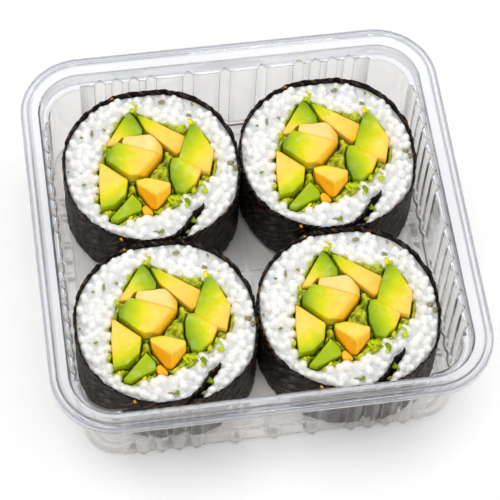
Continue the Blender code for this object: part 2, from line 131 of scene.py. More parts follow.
def colour_ramp(tree, factor, stops):
    """A ColorRamp from a list of (place, colour)."""
    made = add_node(tree, "ShaderNodeValToRGB", {"Fac": factor})
    ramp = made.color_ramp
    while len(ramp.elements) < len(stops):
        ramp.elements.new(0.5)
    for element, (position, value) in zip(ramp.elements, stops):
        element.position = position
        element.color = value
    return made.outputs["Color"]


def object_pattern(tree, scale, detail=3.0, stretch=(1, 1, 1)):
    """Noise on Object coordinates: scale is the number of features in a metre."""
    coordinates = add_node(tree, "ShaderNodeTexCoord")
    mapping = add_node(tree, "ShaderNodeMapping", {"Vector": coordinates.outputs["Object"], "Scale": stretch})
    pattern = {"Vector": mapping.outputs[0], "Scale": scale, "Detail": detail, "Roughness": 0.55}
    return add_node(tree, "ShaderNodeTexNoise", pattern).outputs["Fac"]


def bump(tree, shader, height, strength, distance):
    """Relief from a height pattern, distance being its full depth in metres."""
    made = add_node(tree, "ShaderNodeBump", {"Height": height, "Strength": strength, "Distance": distance})
    tree.links.new(made.outputs[0], shader.inputs["Normal"])


def object_from(bm, name, materials, smooth=True):
    """A linked object from a bmesh, with faces out and its materials in order."""
    bmesh.ops.recalc_face_normals(bm, faces=bm.faces)
    mesh = bpy.data.meshes.new(name)
    bm.to_mesh(mesh)
    bm.free()
    for polygon in mesh.polygons:
        polygon.use_smooth = smooth
    for material in materials:
        mesh.materials.append(material)
    made = bpy.data.objects.new(name, mesh)
    bpy.context.scene.collection.objects.link(made)
    return made


print("screen grey 188 as a linear number:", round(colour(188, 188, 188)[0], 3))

# %% [markdown]
# ## The table and the light
#
# The picture is a bright product shot: a white table, a big soft light from the upper left, and white
# card all round. Clear plastic shows only what it mirrors and bends, so the surroundings are not evenly
# white: the sky darkens to grey at the horizon, which draws grey lines along the rim. The large lamp stands
# high up at the back left and gives the soft shadow. A smaller one at the front left fills it, and two low
# ones, at the right and in front, put bright lines on the rim.

# %% Table
# Half the table's side, in metres.
TABLE_REACH = 1.5
table_material, table_tree, table_shader = new_material("white table")
speckle = object_pattern(table_tree, 40.0)
table_colour = colour_ramp(table_tree, speckle, [(0.3, colour(250, 250, 250)), (0.7, colour(252, 252, 252))])
table_tree.links.new(table_colour, table_shader.inputs["Base Color"])
table_shader.inputs["Roughness"].default_value = 0.8
table_shader.inputs["Specular IOR Level"].default_value = 0.2
bm = bmesh.new()
bmesh.ops.create_grid(bm, x_segments=1, y_segments=1, size=TABLE_REACH)
table = object_from(bm, "table", [table_material], smooth=False)
print("table side in m:", table.dimensions.x)

# %% Sky
# Height over the horizon, from 0 to 1, and the colour there.
SKY = [
    (0.0, colour(122, 122, 125)),
    (0.14, colour(188, 187, 188)),
    (0.3, colour(232, 231, 230)),
    (0.6, (1, 1, 1, 1)),
]
SKY_STRENGTH = 0.69
world = bpy.data.worlds.new("white studio")
world.use_nodes = True
sky = world.node_tree
sky.nodes.clear()
coordinates = add_node(sky, "ShaderNodeTexCoord")
split = add_node(sky, "ShaderNodeSeparateXYZ", {0: coordinates.outputs["Generated"]})
sky_colour = colour_ramp(sky, split.outputs["Z"], SKY)
background = add_node(sky, "ShaderNodeBackground", {"Color": sky_colour, "Strength": SKY_STRENGTH})
add_node(sky, "ShaderNodeOutputWorld", {"Surface": background.outputs[0]})
bpy.context.scene.world = world
bpy.context.scene.view_settings.view_transform = "Standard"
print("sky nodes:", len(sky.nodes))


# %% Lamps
def soft_light(name, azimuth, elevation, distance, size, power):
    """A square area lamp that points at the middle of the tray."""
    a, e = math.radians(azimuth), math.radians(elevation)
    towards = Vector((math.sin(a) * math.cos(e), -math.cos(a) * math.cos(e), math.sin(e)))
    lamp = bpy.data.objects.new(name, bpy.data.lights.new(name, "AREA"))
    lamp.data.size = size
    lamp.data.energy = power
    lamp.location = towards * distance
    lamp.rotation_euler = towards.to_track_quat("Z", "Y").to_euler()
    bpy.context.scene.collection.objects.link(lamp)


# Degrees round the tray and over the table, distance and side in metres, and power in watts.
LAMPS = {
    "key": (205, 72, 0.9, 0.85, 3.7),
    "fill": (-25, 40, 1.1, 0.4, 1.6),
    "edge": (100, 30, 1.0, 0.3, 0.9),
    "glint": (8, 22, 1.0, 0.12, 0.45),
}
for name, row in LAMPS.items():
    soft_light(name, *row)
print("lamps:", list(LAMPS))

# %% [markdown]
# ## The tray
#
# The real tray is one sheet of clear plastic, heated and drawn into a mould. Every edge is therefore
# rounded, and the flutes in the walls are there to stiffen it. A profile is drawn once, from the rim down
# to the floor, and swept round a rounded square. At each flute the wall's loops are pushed outwards. This
# is quicker to steer than a pile of cuts, and it gives one clean sheet, which Solidify then thickens.

# %% Tray sizes
TRAY_WIDTH, TRAY_DEPTH = 136 * MM, 133 * MM
CORNER_RADIUS = 20 * MM
SHEET = 0.5 * MM
CORNER_STEP = 1.2 * MM
# The third number is how strongly the flutes' creases get a painted shade line.
FLUTE_WIDTH, FLUTE_DEPTH, FLUTE_LINE_SHADE = 3.4 * MM, 1.1 * MM, 0.6
PANEL_HEIGHT = 1.7 * MM
RIB_INSET, RIB_HEIGHT = 22 * MM, 0.8 * MM
RIM_FOOT = 33.3 * MM

# Rim, ledge, shoulder, wall, foot: inset and height in mm, share of the flutes, share of the corner step,
# and how tight the bend is, from 0 to 1, which also sets the painted shade line along it.
PROFILE = [
    (0.0, 35.8, 0, 0, 0),
    (0.02, 36.6, 0, 0, 0),
    (0.1, 37.5, 0, 0, 0.2),
    (0.35, 38.2, 0, 0, 0.9),
    (0.8, 38.7, 0, 0, 0.2),
    (1.25, 38.93, 0, 0, 0),
    (1.7, 39.0, 0, 0, 0),
    (2.15, 38.92, 0, 0, 0),
    (2.55, 38.65, 0, 0, 0),
    (2.8, 38.25, 0, 0, 0.7),
    (3.0, 37.9, 0, 0, 0),
    (3.3, 37.75, 0, 0, 0),
    (4.5, 37.7, 0, 0, 0),
    (5.7, 37.7, 0, 0, 0),
    (6.0, 37.6, 0, 0, 0.1),
    (6.2, 37.3, 0, 0, 0.8),
    (6.35, 36.8, 0, 0, 0.05),
    (6.6, 35.0, 0, 0, 0),
    (6.75, 33.8, 0, 0, 0),
    (6.9, 33.45, 0, 0, 0.5),
    (7.15, 33.35, 0, 0.4, 0),
    (7.85, 33.3, 0.8, 0.9, 0.1),
    (8.02, 33.1, 0.95, 1, 0.6),
    (8.1, 32.7, 1, 1, 0.05),
    (8.12, 31.5, 0.85, 1, 0),
    (8.16, 26.0, 0.75, 1, 0),
    (8.22, 16.0, 0.75, 1, 0),
    (8.27, 6.0, 0.8, 1, 0),
    (8.3, 3.6, 0.95, 1, 0),
    (8.34, 2.9, 0.97, 1, 0),
    (8.38, 2.5, 0.97, 1, 0.5),
    (8.42, 2.2, 0.93, 0.96, 0),
    (8.5, 1.8, 0.85, 0.9, 0),
    (8.64, 1.4, 0.72, 0.74, 0),
    (8.76, 1.16, 0.62, 0.65, 1),
    (8.9, 0.95, 0.52, 0.55, 1),
    (9.04, 0.79, 0.4, 0.42, 0),
    (9.2, 0.65, 0.25, 0.3, 0),
    (9.7, 0.5, 0, 0, 0),
    (11.8, 0.5, 0, 0, 0),
    (12.1, 0.62, 0, 0, 0.6),
    (12.35, 1.1, 0, 0, 0),
    (12.5, 1.5, 0, 0, 0),
    (12.75, 1.7, 0, 0, 0.6),
    (13.4, 1.7, 0, 0, 0),
]
print("profile levels:", len(PROFILE), "from", PROFILE[0][:2], "to", PROFILE[-1][:2])

# %% [markdown]
# Each level of the profile runs round the tray through the same stations: points every 5 degrees round a
# corner, a step where the corner meets the wall, a few points between flutes, and thirteen across a flute.
# A flute is half a wave of a cosine, so it meets the wall in a crease, and the crease is marked as tight.

# %% Stations round the tray
CORNER_POINTS, CORNER_SPACING = 19, 5
STEP_START, STEP_MIDDLE, STEP_END = 0.6 * MM, 0.85 * MM, 1.3 * MM
PLAIN_SPACING = 2.5 * MM
ACROSS_FLUTE = [-1.08, -1.0, -0.94, -0.84, -0.55, -0.28, 0.0, 0.28, 0.55, 0.84, 0.94, 1.0, 1.08]
CREASE, CREASE_REACH = 0.97, 0.07


def flute_places():
    """Places of the flutes along the right, back, left and front walls, in metres from the middle."""
    side = [(7.0 + 5.9 * i) * MM for i in range(7)]
    long = [0.0, 12.2 * MM, -12.2 * MM]
    for i in range(4):
        long += [(24.4 + 5.6 * i) * MM, -(24.4 + 5.6 * i) * MM]
    side = sorted([-place for place in side] + side)
    return [side, sorted(long), side, sorted(long)]


def stations():
    """Points round the tray: kind, side, place or angle, push of a flute, corner's share, tightness."""
    flute_reach = ACROSS_FLUTE[-1] * FLUTE_WIDTH / 2
    half = [TRAY_DEPTH / 2 - CORNER_RADIUS, TRAY_WIDTH / 2 - CORNER_RADIUS] * 2
    found = []
    for side, flutes in enumerate(flute_places()):
        for step in range(CORNER_POINTS):
            angle = math.radians(90 * side - 90 + CORNER_SPACING * step)
            found.append(("corner", side, angle, 0.0, 1.0, 0.0))
        reach = half[side]
        found.append(("side", side, -reach + STEP_START, 0.0, 0.9, 0.8))
        found.append(("side", side, -reach + STEP_MIDDLE, 0.0, 0.0, 0.6))
        before = -reach + STEP_END
        for place in flutes:
            gap = place - flute_reach - before
            parts = round(gap / PLAIN_SPACING)
            for i in range(1, max(1, parts)):
                found.append(("side", side, before + gap * i / parts, 0.0, 0.0, 0.0))
            for share in ACROSS_FLUTE:
                push = max(0.0, math.cos(share * math.pi / 2)) ** 1.1
                tight = max(0.0, 1.0 - abs(abs(share) - CREASE) / CREASE_REACH)
                found.append(("side", side, place + share * FLUTE_WIDTH / 2, push, 0.0, tight))
            before = place + flute_reach
        found.append(("side", side, reach - STEP_MIDDLE, 0.0, 0.0, 0.6))
        found.append(("side", side, reach - STEP_START, 0.0, 0.9, 0.8))
    return found


def station_point(station, inset, flute, step):
    """The sheet's point at a station, this far inside the tray's outline."""
    kind, side, where, push, corner, _ = station
    inset = inset + CORNER_STEP * corner * step - FLUTE_DEPTH * push * flute
    half_x, half_y = TRAY_WIDTH / 2 - CORNER_RADIUS, TRAY_DEPTH / 2 - CORNER_RADIUS
    if kind == "corner":
        sign_x, sign_y = ((1, -1), (1, 1), (-1, 1), (-1, -1))[side]
        radius = CORNER_RADIUS - inset
        return sign_x * half_x + radius * math.cos(where), sign_y * half_y + radius * math.sin(where)
    outward = ((1, 0), (0, 1), (-1, 0), (0, -1))[side]
    along = ((0, 1), (-1, 0), (0, -1), (1, 0))[side]
    reach = (TRAY_WIDTH if side % 2 == 0 else TRAY_DEPTH) / 2 - inset
    return outward[0] * reach + along[0] * where, outward[1] * reach + along[1] * where


round_the_tray = stations()
print("stations:", len(round_the_tray), "levels:", len(PROFILE))


# %% [markdown]
# The floor is a flat panel with two low ribs that cross between the rolls. Its grid has more lines where
# a rib rises, and the flat ring between the grid and the walls needs only a fill. Each vertex keeps how
# tight its bend is as an attribute, which the plastic reads to paint its shade lines. Solidify then gives
# the sheet its thickness.

# %% Sheet
# From a rib's middle to the foot of its slope, and how long the slope is.
RIB_REACH, RIB_SLOPE = 1.7 * MM, 0.9 * MM
# Open edges below this height belong to the floor, and those above it to the rim.
FLOOR_BELOW = 3 * MM


def rib_marks(reach):
    """Grid lines from the middle to the panel's edge, close together on the rib's slopes."""
    near = [0.0, 0.5, 0.8, 1.0, 1.2, 1.4, 1.6, 1.9]
    far = [reach / MM - offset for offset in (2.0, 1.0, 0.7, 0.45, 0.2, 0.0)]
    between = [2.0 + (far[0] - 2.0) * i / 10 for i in range(1, 10)]
    positive = [mark * MM for mark in near + between + far]
    return [-mark for mark in reversed(positive[1:])] + positive


def rib_height(x, y, half_x, half_y):
    """Height of the crossing ribs over the floor panel."""
    def rise(offset):
        share = min(1.0, max(0.0, (RIB_REACH - offset) / RIB_SLOPE))
        return share * share * (3 - 2 * share)

    ends = min(half_x - abs(x), half_y - abs(y))
    end = min(1.0, max(0.0, ends / RIB_SLOPE))
    return RIB_HEIGHT * max(rise(abs(x)), rise(abs(y))) * end * end * (3 - 2 * end)


def build_sheet(materials):
    """The upper face of the tray's sheet, thickened downwards and outwards."""
    bm = bmesh.new()
    bend = bm.verts.layers.float.new("bend")
    loops = []
    for inset, height, flute, step, tight in PROFILE:
        loop = []
        for station in round_the_tray:
            vertex = bm.verts.new((*station_point(station, inset * MM, flute, step), height * MM))
            # Where the plastic paints its shade lines: the profile's bends and the flute creases.
            vertex[bend] = max(tight, FLUTE_LINE_SHADE * station[-1] * flute)
            loop.append(vertex)
        loops.append(loop)
    for upper, lower in zip(loops, loops[1:]):
        for i in range(len(upper)):
            j = (i + 1) % len(upper)
            bm.faces.new((upper[i], upper[j], lower[j], lower[i]))

    half_x, half_y = TRAY_WIDTH / 2 - RIB_INSET, TRAY_DEPTH / 2 - RIB_INSET
    columns, rows = rib_marks(half_x), rib_marks(half_y)
    grid = []
    for x in columns:
        heights = [PANEL_HEIGHT + rib_height(x, y, half_x, half_y) for y in rows]
        grid.append([bm.verts.new((x, y, z)) for y, z in zip(rows, heights)])
    for i in range(len(columns) - 1):
        for j in range(len(rows) - 1):
            bm.faces.new((grid[i][j], grid[i + 1][j], grid[i + 1][j + 1], grid[i][j + 1]))
    bm.verts.index_update()
    border = [edge for edge in bm.edges if edge.is_boundary]
    lowest = [edge for edge in border if max(vert.co.z for vert in edge.verts) < FLOOR_BELOW]
    bmesh.ops.triangle_fill(bm, edges=lowest, use_beauty=True, normal=(0, 0, 1))
    bmesh.ops.recalc_face_normals(bm, faces=bm.faces)
    middle = min(bm.faces, key=lambda face: face.calc_center_median().length)
    if middle.normal.z < 0:
        bmesh.ops.reverse_faces(bm, faces=bm.faces)
    mesh = bpy.data.meshes.new("sheet")
    bm.to_mesh(mesh)
    bm.free()
    for material in materials:
        mesh.materials.append(material)
    for polygon in mesh.polygons:
        polygon.material_index = 1 if polygon.center.z > RIM_FOOT else 0
    sheet = bpy.data.objects.new("sheet", mesh)
    bpy.context.scene.collection.objects.link(sheet)
    solidify = sheet.modifiers.new("thickness", "SOLIDIFY")
    solidify.thickness = SHEET
    solidify.offset = -1
    solidify.use_even_offset = True
    return sheet


def finished(source, name):
    """The evaluated object as a plain mesh object, with no modifiers left."""
    graph = bpy.context.evaluated_depsgraph_get()
    mesh = bpy.data.meshes.new_from_object(source.evaluated_get(graph), depsgraph=graph)
    mesh.name = name
    made = bpy.data.objects.new(name, mesh)
    bpy.context.scene.collection.objects.link(made)
    bpy.data.objects.remove(source, do_unlink=True)
    return made


print("lines across the floor panel:", len(rib_marks(TRAY_WIDTH / 2 - RIB_INSET)))

# %% [markdown]
# ### Clear plastic
#
# The sheet is clear and glossy. A real one bends light by an index of 1.5, but a modelled shell as thin as
# this then turns each flute into a black bar, because few rays that enter one face leave by the one behind
# it. So the body bends light very little, and a coat with an index of its own does the mirroring. Where a
# real sheet turns tightly, light bent and mirrored there draws grey and pale lines; here those lines are
# painted: the attribute "bend", written with the profile, mixes a second, rough shader with grey colours in
# along them, as painted shade. The rim is thicker and bends more, so it has a plastic of its own. Lamps
# hardly reach the food through bent glass, because a path tracer finds such light slowly, so rays on their
# way to a lamp pass straight through.

# %% Plastic material
def clear_plastic(name, tint, painted_line_shades, line_shade_share, bending, gloss_bending):
    """Clear sheet that bends light by one index, mirrors it by another, and has painted shade lines in its
    bends.
    """
    material, tree, shader = new_material(name)
    shader.inputs["Base Color"].default_value = tint
    shader.inputs["Transmission Weight"].default_value = 1.0
    shader.inputs["Roughness"].default_value = 0.02
    shader.inputs["IOR"].default_value = bending
    shader.inputs["Coat Weight"].default_value = 1.0
    shader.inputs["Coat Roughness"].default_value = 0.02
    shader.inputs["Coat IOR"].default_value = gloss_bending
    waves = object_pattern(tree, 60.0, detail=1.5)
    bump(tree, shader, waves, 0.008, 0.4 * MM)

    # Painted shade: a rough grey shader along the bends stands in for the lines that bent and mirrored light
    # draws there.
    bend = add_node(tree, "ShaderNodeAttribute", attribute_name="bend").outputs["Fac"]
    loose, tight = painted_line_shades
    line = colour_ramp(tree, bend, [(0.5, loose), (1.0, tight)])
    painted_shade = add_node(tree, "ShaderNodeBsdfPrincipled", {"Base Color": line, "Roughness": 0.35})
    share = add_node(tree, "ShaderNodeMath", {0: bend, 1: line_shade_share}, operation="MULTIPLY", use_clamp=True)
    sheet = add_node(
        tree, "ShaderNodeMixShader", {0: share.outputs[0], 1: shader.outputs[0], 2: painted_shade.outputs[0]}
    )
    rays = add_node(tree, "ShaderNodeLightPath")
    clear = add_node(tree, "ShaderNodeBsdfTransparent", {"Color": colour(240, 239, 238)})
    sides = {0: rays.outputs["Is Shadow Ray"], 1: sheet.outputs[0], 2: clear.outputs[0]}
    lit = add_node(tree, "ShaderNodeMixShader", sides)
    output = next(node for node in tree.nodes if node.type == "OUTPUT_MATERIAL")
    tree.links.new(lit.outputs[0], output.inputs["Surface"])
    return material


wall_plastic = clear_plastic(
    "clear wall plastic",
    colour(247, 246, 245),
    (colour(214, 213, 213), colour(122, 121, 122)),
    line_shade_share=0.8,
    bending=1.05,
    gloss_bending=1.34,
)
rim_plastic = clear_plastic(
    "clear rim plastic",
    colour(229, 230, 235),
    (colour(178, 182, 193), colour(128, 132, 145)),
    line_shade_share=0.5,
    bending=1.38,
    gloss_bending=1.55,
)
print("frosted lines:", sum(1 for row in PROFILE if row[-1] >= 0.5), "round the tray")

# %% [markdown]
# The finished sheet is a plain mesh. Solidify can push it a hair below the table under the foot, so points
# there are lifted back to the table. The piece then stands for the solid tray in the frame.

# %% Tray piece
tray = finished(build_sheet([wall_plastic, rim_plastic]), "tray_sheet")
for vertex in tray.data.vertices:
    vertex.co.z = max(0.0, vertex.co.z)
for polygon in tray.data.polygons:
    polygon.use_smooth = True
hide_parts("tray")
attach(tray, "root")
print("tray faces:", len(tray.data.polygons), "box in mm:", [round(v / MM, 1) for v in tray.dimensions])

# %% [markdown]
# ## The shape of a roll
#
# All the pieces of a roll hang on one outline, given as degrees round the roll and the distance from its
# middle. The seaweed sheet starts inside the rice at the lower right, turns out along the lap, and goes
# once round. One roll is made at the origin and then copied to its four places.

# %% Roll tables
ROLL_BOTTOM, ROLL_TOP = 2.8 * MM, 28.0 * MM
ROLL_EDGE = [
    (0, 28.4),
    (20, 28.9),
    (50, 29.4),
    (72, 28.9),
    (90, 28.1),
    (108, 28.7),
    (150, 29.3),
    (180, 28.4),
    (198, 28.7),
    (250, 28.6),
    (270, 28.1),
    (289, 29.4),
    (325, 29.9),
    (346, 28.8),
]
SEAWEED_START = -48.0
SEAWEED_THICKNESS = 0.5 * MM
SEAWEED_SPIRAL = [(0, 7.7), (12, 7.2), (21, 5.2), (30, 2.5), (36, 1.15), (45, 0.25), (394, 0.25)]
LOBE_SIDE = [(2, 6.9), (12, 5.2), (18, 3.4), (22, 1.5)]
FILLING_EDGE = [
    (0, 21.2),
    (28, 20.8),
    (42, 20.2),
    (56, 16.8),
    (74, 16.6),
    (90, 18.8),
    (104, 22.3),
    (122, 18.6),
    (160, 15.9),
    (178, 17.6),
    (197, 19.2),
    (218, 23.6),
    (234, 24.0),
    (255, 19.2),
    (280, 17.0),
    (308, 15.9),
    (328, 17.0),
    (343, 20.0),
]
FILLING_TOP = 26.6 * MM


def roll_places():
    """Name and middle of each roll, on a grid that lies slightly turned in the tray."""
    turn = Matrix.Rotation(math.radians(-2.4), 2)
    found = {}
    for row, sign_y in (("back", 1), ("front", -1)):
        for column, sign_x in (("left", -1), ("right", 1)):
            middle = turn @ Vector((sign_x * 28.6, sign_y * 28.25)) + Vector((-0.45, 0.4))
            found[f"{row}_{column}"] = Vector((middle.x * MM, middle.y * MM, 0))
    return found


for roll, middle in roll_places().items():
    print(roll, "at", round(middle.x / MM, 1), round(middle.y / MM, 1), "mm")


def read_table(table, value, ease=False):
    """The size at this place of a table of (place, size), in straight or eased lines."""
    for (low, size_low), (high, size_high) in zip(table, table[1:]):
        if value <= high:
            share = (value - low) / (high - low)
            if ease:
                share = share * share * (3 - 2 * share)
            return size_low + share * (size_high - size_low)
    return table[-1][1]


def read_round(table, angle, ease=False):
    """The same for a table in degrees that closes on itself."""
    return read_table(table + [(table[0][0] + 360, table[0][1])], angle % 360, ease)


def roll_point(sweep, inset):
    """A point this far (mm) inside the roll's edge, at this sweep from the seaweed's first edge."""
    angle = SEAWEED_START - sweep
    radius = (read_round(ROLL_EDGE, angle, ease=True) - inset) * MM
    return Vector((radius * math.cos(math.radians(angle)), radius * math.sin(math.radians(angle))))


def copy_to_rolls(pattern, node, name):
    """Copies of a pattern piece at the four rolls, each standing for its CAD node. The pattern goes."""
    for roll, middle in roll_places().items():
        mesh = pattern.data.copy()
        mesh.transform(Matrix.Translation(middle))
        piece = bpy.data.objects.new(f"{roll}.{name}", mesh)
        bpy.context.scene.collection.objects.link(piece)
        if node is not None:
            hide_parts(f"{roll}.{node}")
        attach(piece, "root")
    print(name, "faces each:", len(pattern.data.polygons))
    bpy.data.objects.remove(pattern, do_unlink=True)


# %% [markdown]
# ## Seaweed
#
# Nori is pressed from shredded seaweed, much as paper is, so it has a fibrous, blotchy surface. Round a
# moist roll it draws up into fine slanting wrinkles. The sheet here is a grid on the spiral, both faces
# moved together by a stretched noise so that the thickness stays, and its cut edge is left uneven. The
# fibres run aslant round the roll, so each point also stores its place on the unrolled sheet.

# %% Seaweed sheet
SEAWEED_STEPS, SEAWEED_SWEEP = 330, SEAWEED_SPIRAL[-1][0]
# Heights of the rows of points as shares of the sheet's height, closer together near the cut edge.
SEAWEED_ROWS = [0, 0.08, 0.16, 0.24, 0.32, 0.4, 0.48, 0.56]
SEAWEED_ROWS += [0.64, 0.71, 0.77, 0.83, 0.88, 0.92, 0.95, 0.975, 1.0]
FIBRE_SLANT, WRINKLE_SLANT = 0.8, 0.45
COARSE_WRINKLE, FINE_WRINKLE, RAGGED_EDGE = 0.4, 0.35, 0.3


def wrinkle(along, height):
    """How far the sheet stands out at this length along it and this height, in metres."""
    across = 0.3 * (height - WRINKLE_SLANT * along)
    slanted = Vector((along + WRINKLE_SLANT * height, across, 0)) / MM
    coarse = noise.noise(slanted / 3.0)
    fine = noise.noise(slanted / 1.1 + Vector((31, 7, 0)))
    return (COARSE_WRINKLE * coarse + FINE_WRINKLE * fine) * MM


def build_seaweed(material):
    """The spiral sheet: outer and inner faces, top and bottom edges, and two ends."""
    stops = [SEAWEED_SWEEP * i / SEAWEED_STEPS for i in range(SEAWEED_STEPS + 1)]
    path = [roll_point(sweep, read_table(SEAWEED_SPIRAL, sweep)) for sweep in stops]
    lengths = [0.0]
    for here, there in zip(path, path[1:]):
        lengths.append(lengths[-1] + (there - here).length)
    bm = bmesh.new()
    edge_layer = bm.verts.layers.float.new("cut_edge")
    place_layer = bm.verts.layers.float_vector.new("sheet_place")
    outer, inner = [], []
    for i, point in enumerate(path):
        along = (path[min(i + 1, len(path) - 1)] - path[max(i - 1, 0)]).normalized()
        outward = Vector((-along.y, along.x)) * (1 if along.cross(point) < 0 else -1)
        if outward.dot(point) < 0:
            outward = -outward
        ragged = RAGGED_EDGE * noise.noise(Vector((lengths[i] / MM / 1.3, 5, 0))) * MM
        for faces, side in ((outer, 1), (inner, -1)):
            column = []
            for share in SEAWEED_ROWS:
                height = ROLL_BOTTOM + share * (ROLL_TOP - ROLL_BOTTOM - 0.15 * MM)
                height += ragged * share**6
                offset = side * SEAWEED_THICKNESS / 2 + wrinkle(lengths[i], height)
                spot = point + outward * offset
                vertex = bm.verts.new((spot.x, spot.y, height))
                vertex[edge_layer] = share**12
                vertex[place_layer] = (
                    lengths[i] + FIBRE_SLANT * height,
                    FIBRE_SLANT * lengths[i] - height,
                    0.0,
                )
                column.append(vertex)
            faces.append(column)
    for i in range(len(path) - 1):
        for j in range(len(outer[0]) - 1):
            bm.faces.new((outer[i][j], outer[i + 1][j], outer[i + 1][j + 1], outer[i][j + 1]))
            bm.faces.new((inner[i][j], inner[i + 1][j], inner[i + 1][j + 1], inner[i][j + 1]))
        for j in (0, -1):
            bm.faces.new((outer[i][j], outer[i + 1][j], inner[i + 1][j], inner[i][j]))
    for i in (0, -1):
        for j in range(len(outer[0]) - 1):
            bm.faces.new((outer[i][j], outer[i][j + 1], inner[i][j + 1], inner[i][j]))
    print("seaweed sheet:", round(lengths[-1] / MM), "mm long")
    return object_from(bm, "seaweed", [material])


# %% [markdown]
# The finish is nearly black with a slight sheen. A noise drawn out along the fibres gives the streaks and,
# as bump, the rough feel. Along the cut edge some flecks have dried brown: the attribute "cut_edge" lets
# the blotches through there only.

# %% Seaweed finish
seaweed_material, tree, shader = new_material("pressed seaweed")
sheet_place = add_node(tree, "ShaderNodeAttribute", attribute_name="sheet_place").outputs["Vector"]
drawn_out = {"Vector": sheet_place, "Scale": (1.0, 0.16, 1.0)}
along_fibres = add_node(tree, "ShaderNodeMapping", drawn_out).outputs[0]
fibre_noise = {"Vector": along_fibres, "Scale": 900.0, "Detail": 5.0, "Roughness": 0.6}
fibres = add_node(tree, "ShaderNodeTexNoise", fibre_noise).outputs["Fac"]
blotches = object_pattern(tree, 420.0, detail=3.0)
base = colour_ramp(
    tree, fibres, [(0.38, colour(4, 3, 3)), (0.51, colour(20, 15, 13)), (0.64, colour(96, 80, 68))]
)
warm = colour_ramp(tree, blotches, [(0.64, (0, 0, 0, 1)), (0.72, (1, 1, 1, 1))])
edge = add_node(tree, "ShaderNodeAttribute", attribute_name="cut_edge").outputs["Fac"]
share = add_node(tree, "ShaderNodeMath", {0: warm, 1: edge}, operation="MULTIPLY")
tint = add_node(
    tree, "ShaderNodeMix", {0: share.outputs[0], 6: base, 7: colour(150, 90, 20)}, data_type="RGBA"
)
tree.links.new(tint.outputs[2], shader.inputs["Base Color"])
shader.inputs["Roughness"].default_value = 0.42
shader.inputs["Specular IOR Level"].default_value = 0.1
bump(tree, shader, fibres, 1.0, 0.8 * MM)
copy_to_rolls(build_seaweed(seaweed_material), "nori", "seaweed")

# %% [markdown]
# ## Rice
#
# Cooked short grain rice is plump, 5 to 6 mm long and a little under 3 mm wide, and it sticks together. A
# knife has gone through the roll, so the grains end at nearly one level, lying any way they like, and
# those against the seaweed stand on end. Placing hundreds of grains by hand is hopeless, but the rule is
# short, so Geometry Nodes place them: spread points in two layers, tilt each grain as far as its room
# allows, drop its top to the cut, and join them with a plain core below.

# %% Rice sizes and outlines
GRAIN_LENGTH, GRAIN_WIDTH = 6.2 * MM, 3.9 * MM
RICE_CORE_TOP = 25.8 * MM
CUT_LEVEL = 28.0 * MM
# Places in mm where a hole shows between the grains.
GAPS = [
    (25.8, -1.6),
    (26.9, -3.8),
    (-0.8, -24.5),
    (14.5, 17.8),
    (-17.8, 14.6),
    (-22.6, -4.5),
    (6.3, 24.2),
    (16.0, 21.7),
    (-13.5, 15.3),
    (-26.7, 1.0),
]


def rice_outline(extra=0.0):
    """The rice's outer edge: clockwise inside the seaweed, round the loose lobe, and back along it."""
    clear = 0.35 + extra
    points = [roll_point(-3.0 + extra, 7.7 + extra)]
    for i in range(181):
        sweep = 382.0 * i / 180
        points.append(roll_point(sweep, read_table(SEAWEED_SPIRAL, sweep) + clear))
    for sweep, inset in reversed(LOBE_SIDE):
        points.append(roll_point(sweep, inset - extra))
    return points


def filling_outline(grown=0.0, step=4):
    """The filling's edge, grown by this many mm."""
    points = []
    for angle in range(0, 360, step):
        radius = (read_round(FILLING_EDGE, angle) + grown) * MM
        turn = math.radians(angle)
        points.append(Vector((radius * math.cos(turn), radius * math.sin(turn))))
    return points


def outline_edges(name, outlines, height):
    """An object with only edges, on these closed outlines."""
    mesh = bpy.data.meshes.new(name)
    points, edges = [], []
    for outline in outlines:
        first = len(points)
        points += [(point.x, point.y, height) for point in outline]
        edges += [(first + i, first + (i + 1) % len(outline)) for i in range(len(outline))]
    mesh.from_pydata(points, edges, [])
    made = bpy.data.objects.new(name, mesh)
    bpy.context.scene.collection.objects.link(made)
    return made


def ring_solid(name, outer, inner, low, high, material):
    """The solid between two outlines, or its upper face alone where low is None."""
    bm = bmesh.new()
    edges = []
    for outline in (outer, inner):
        ring = [bm.verts.new((point.x, point.y, high)) for point in outline]
        edges += [bm.edges.new((ring[i], ring[(i + 1) % len(ring)])) for i in range(len(ring))]
    filled = bmesh.ops.triangle_fill(bm, edges=edges, use_beauty=True, normal=(0, 0, 1))["geom"]
    if low is not None:
        faces = [item for item in filled if isinstance(item, bmesh.types.BMFace)]
        dropped = bmesh.ops.extrude_face_region(bm, geom=faces)["geom"]
        for vertex in (item for item in dropped if isinstance(item, bmesh.types.BMVert)):
            vertex.co.z = low
    return object_from(bm, name, [material], smooth=False)


print("points on the rice's edge:", len(rice_outline()), "and round the filling:", len(filling_outline()))

# %% [markdown]
# A grain is repeated hundreds of times, so it is a ball of only 80 faces, drawn out along X, with blunt
# ends, one of them thicker. It is larger than a real grain, because neighbours overlap and melt together
# later: the points that the grains stand on are about 3 mm apart, and that much of each is left to see.

# %% Grain
END_TO_END, BLUNT_ENDS, FLATTENED = 0.16, 0.55, 0.92


def build_grain(material):
    """One plump grain along X, with blunt ends."""
    bm = bmesh.new()
    bmesh.ops.create_uvsphere(bm, u_segments=10, v_segments=8, radius=0.5)
    for vertex in bm.verts:
        x, y, z = vertex.co.z, vertex.co.x, vertex.co.y
        waist = (1.0 + END_TO_END * x) * (1.0 + BLUNT_ENDS * x * x)
        vertex.co = (x * GRAIN_LENGTH, y * GRAIN_WIDTH * waist, z * GRAIN_WIDTH * FLATTENED * waist)
    return object_from(bm, "grain", [material])


print("grain in mm:", GRAIN_LENGTH / MM, "x", GRAIN_WIDTH / MM)

# %% [markdown]
# Cooked rice is white but not chalky: light goes in and comes out a few millimetres away, which subsurface
# scattering gives. It is moist, so it has a soft gloss that changes every few millimetres, and it takes a
# little warmth from the filling next to it, by the attribute "near_filling".

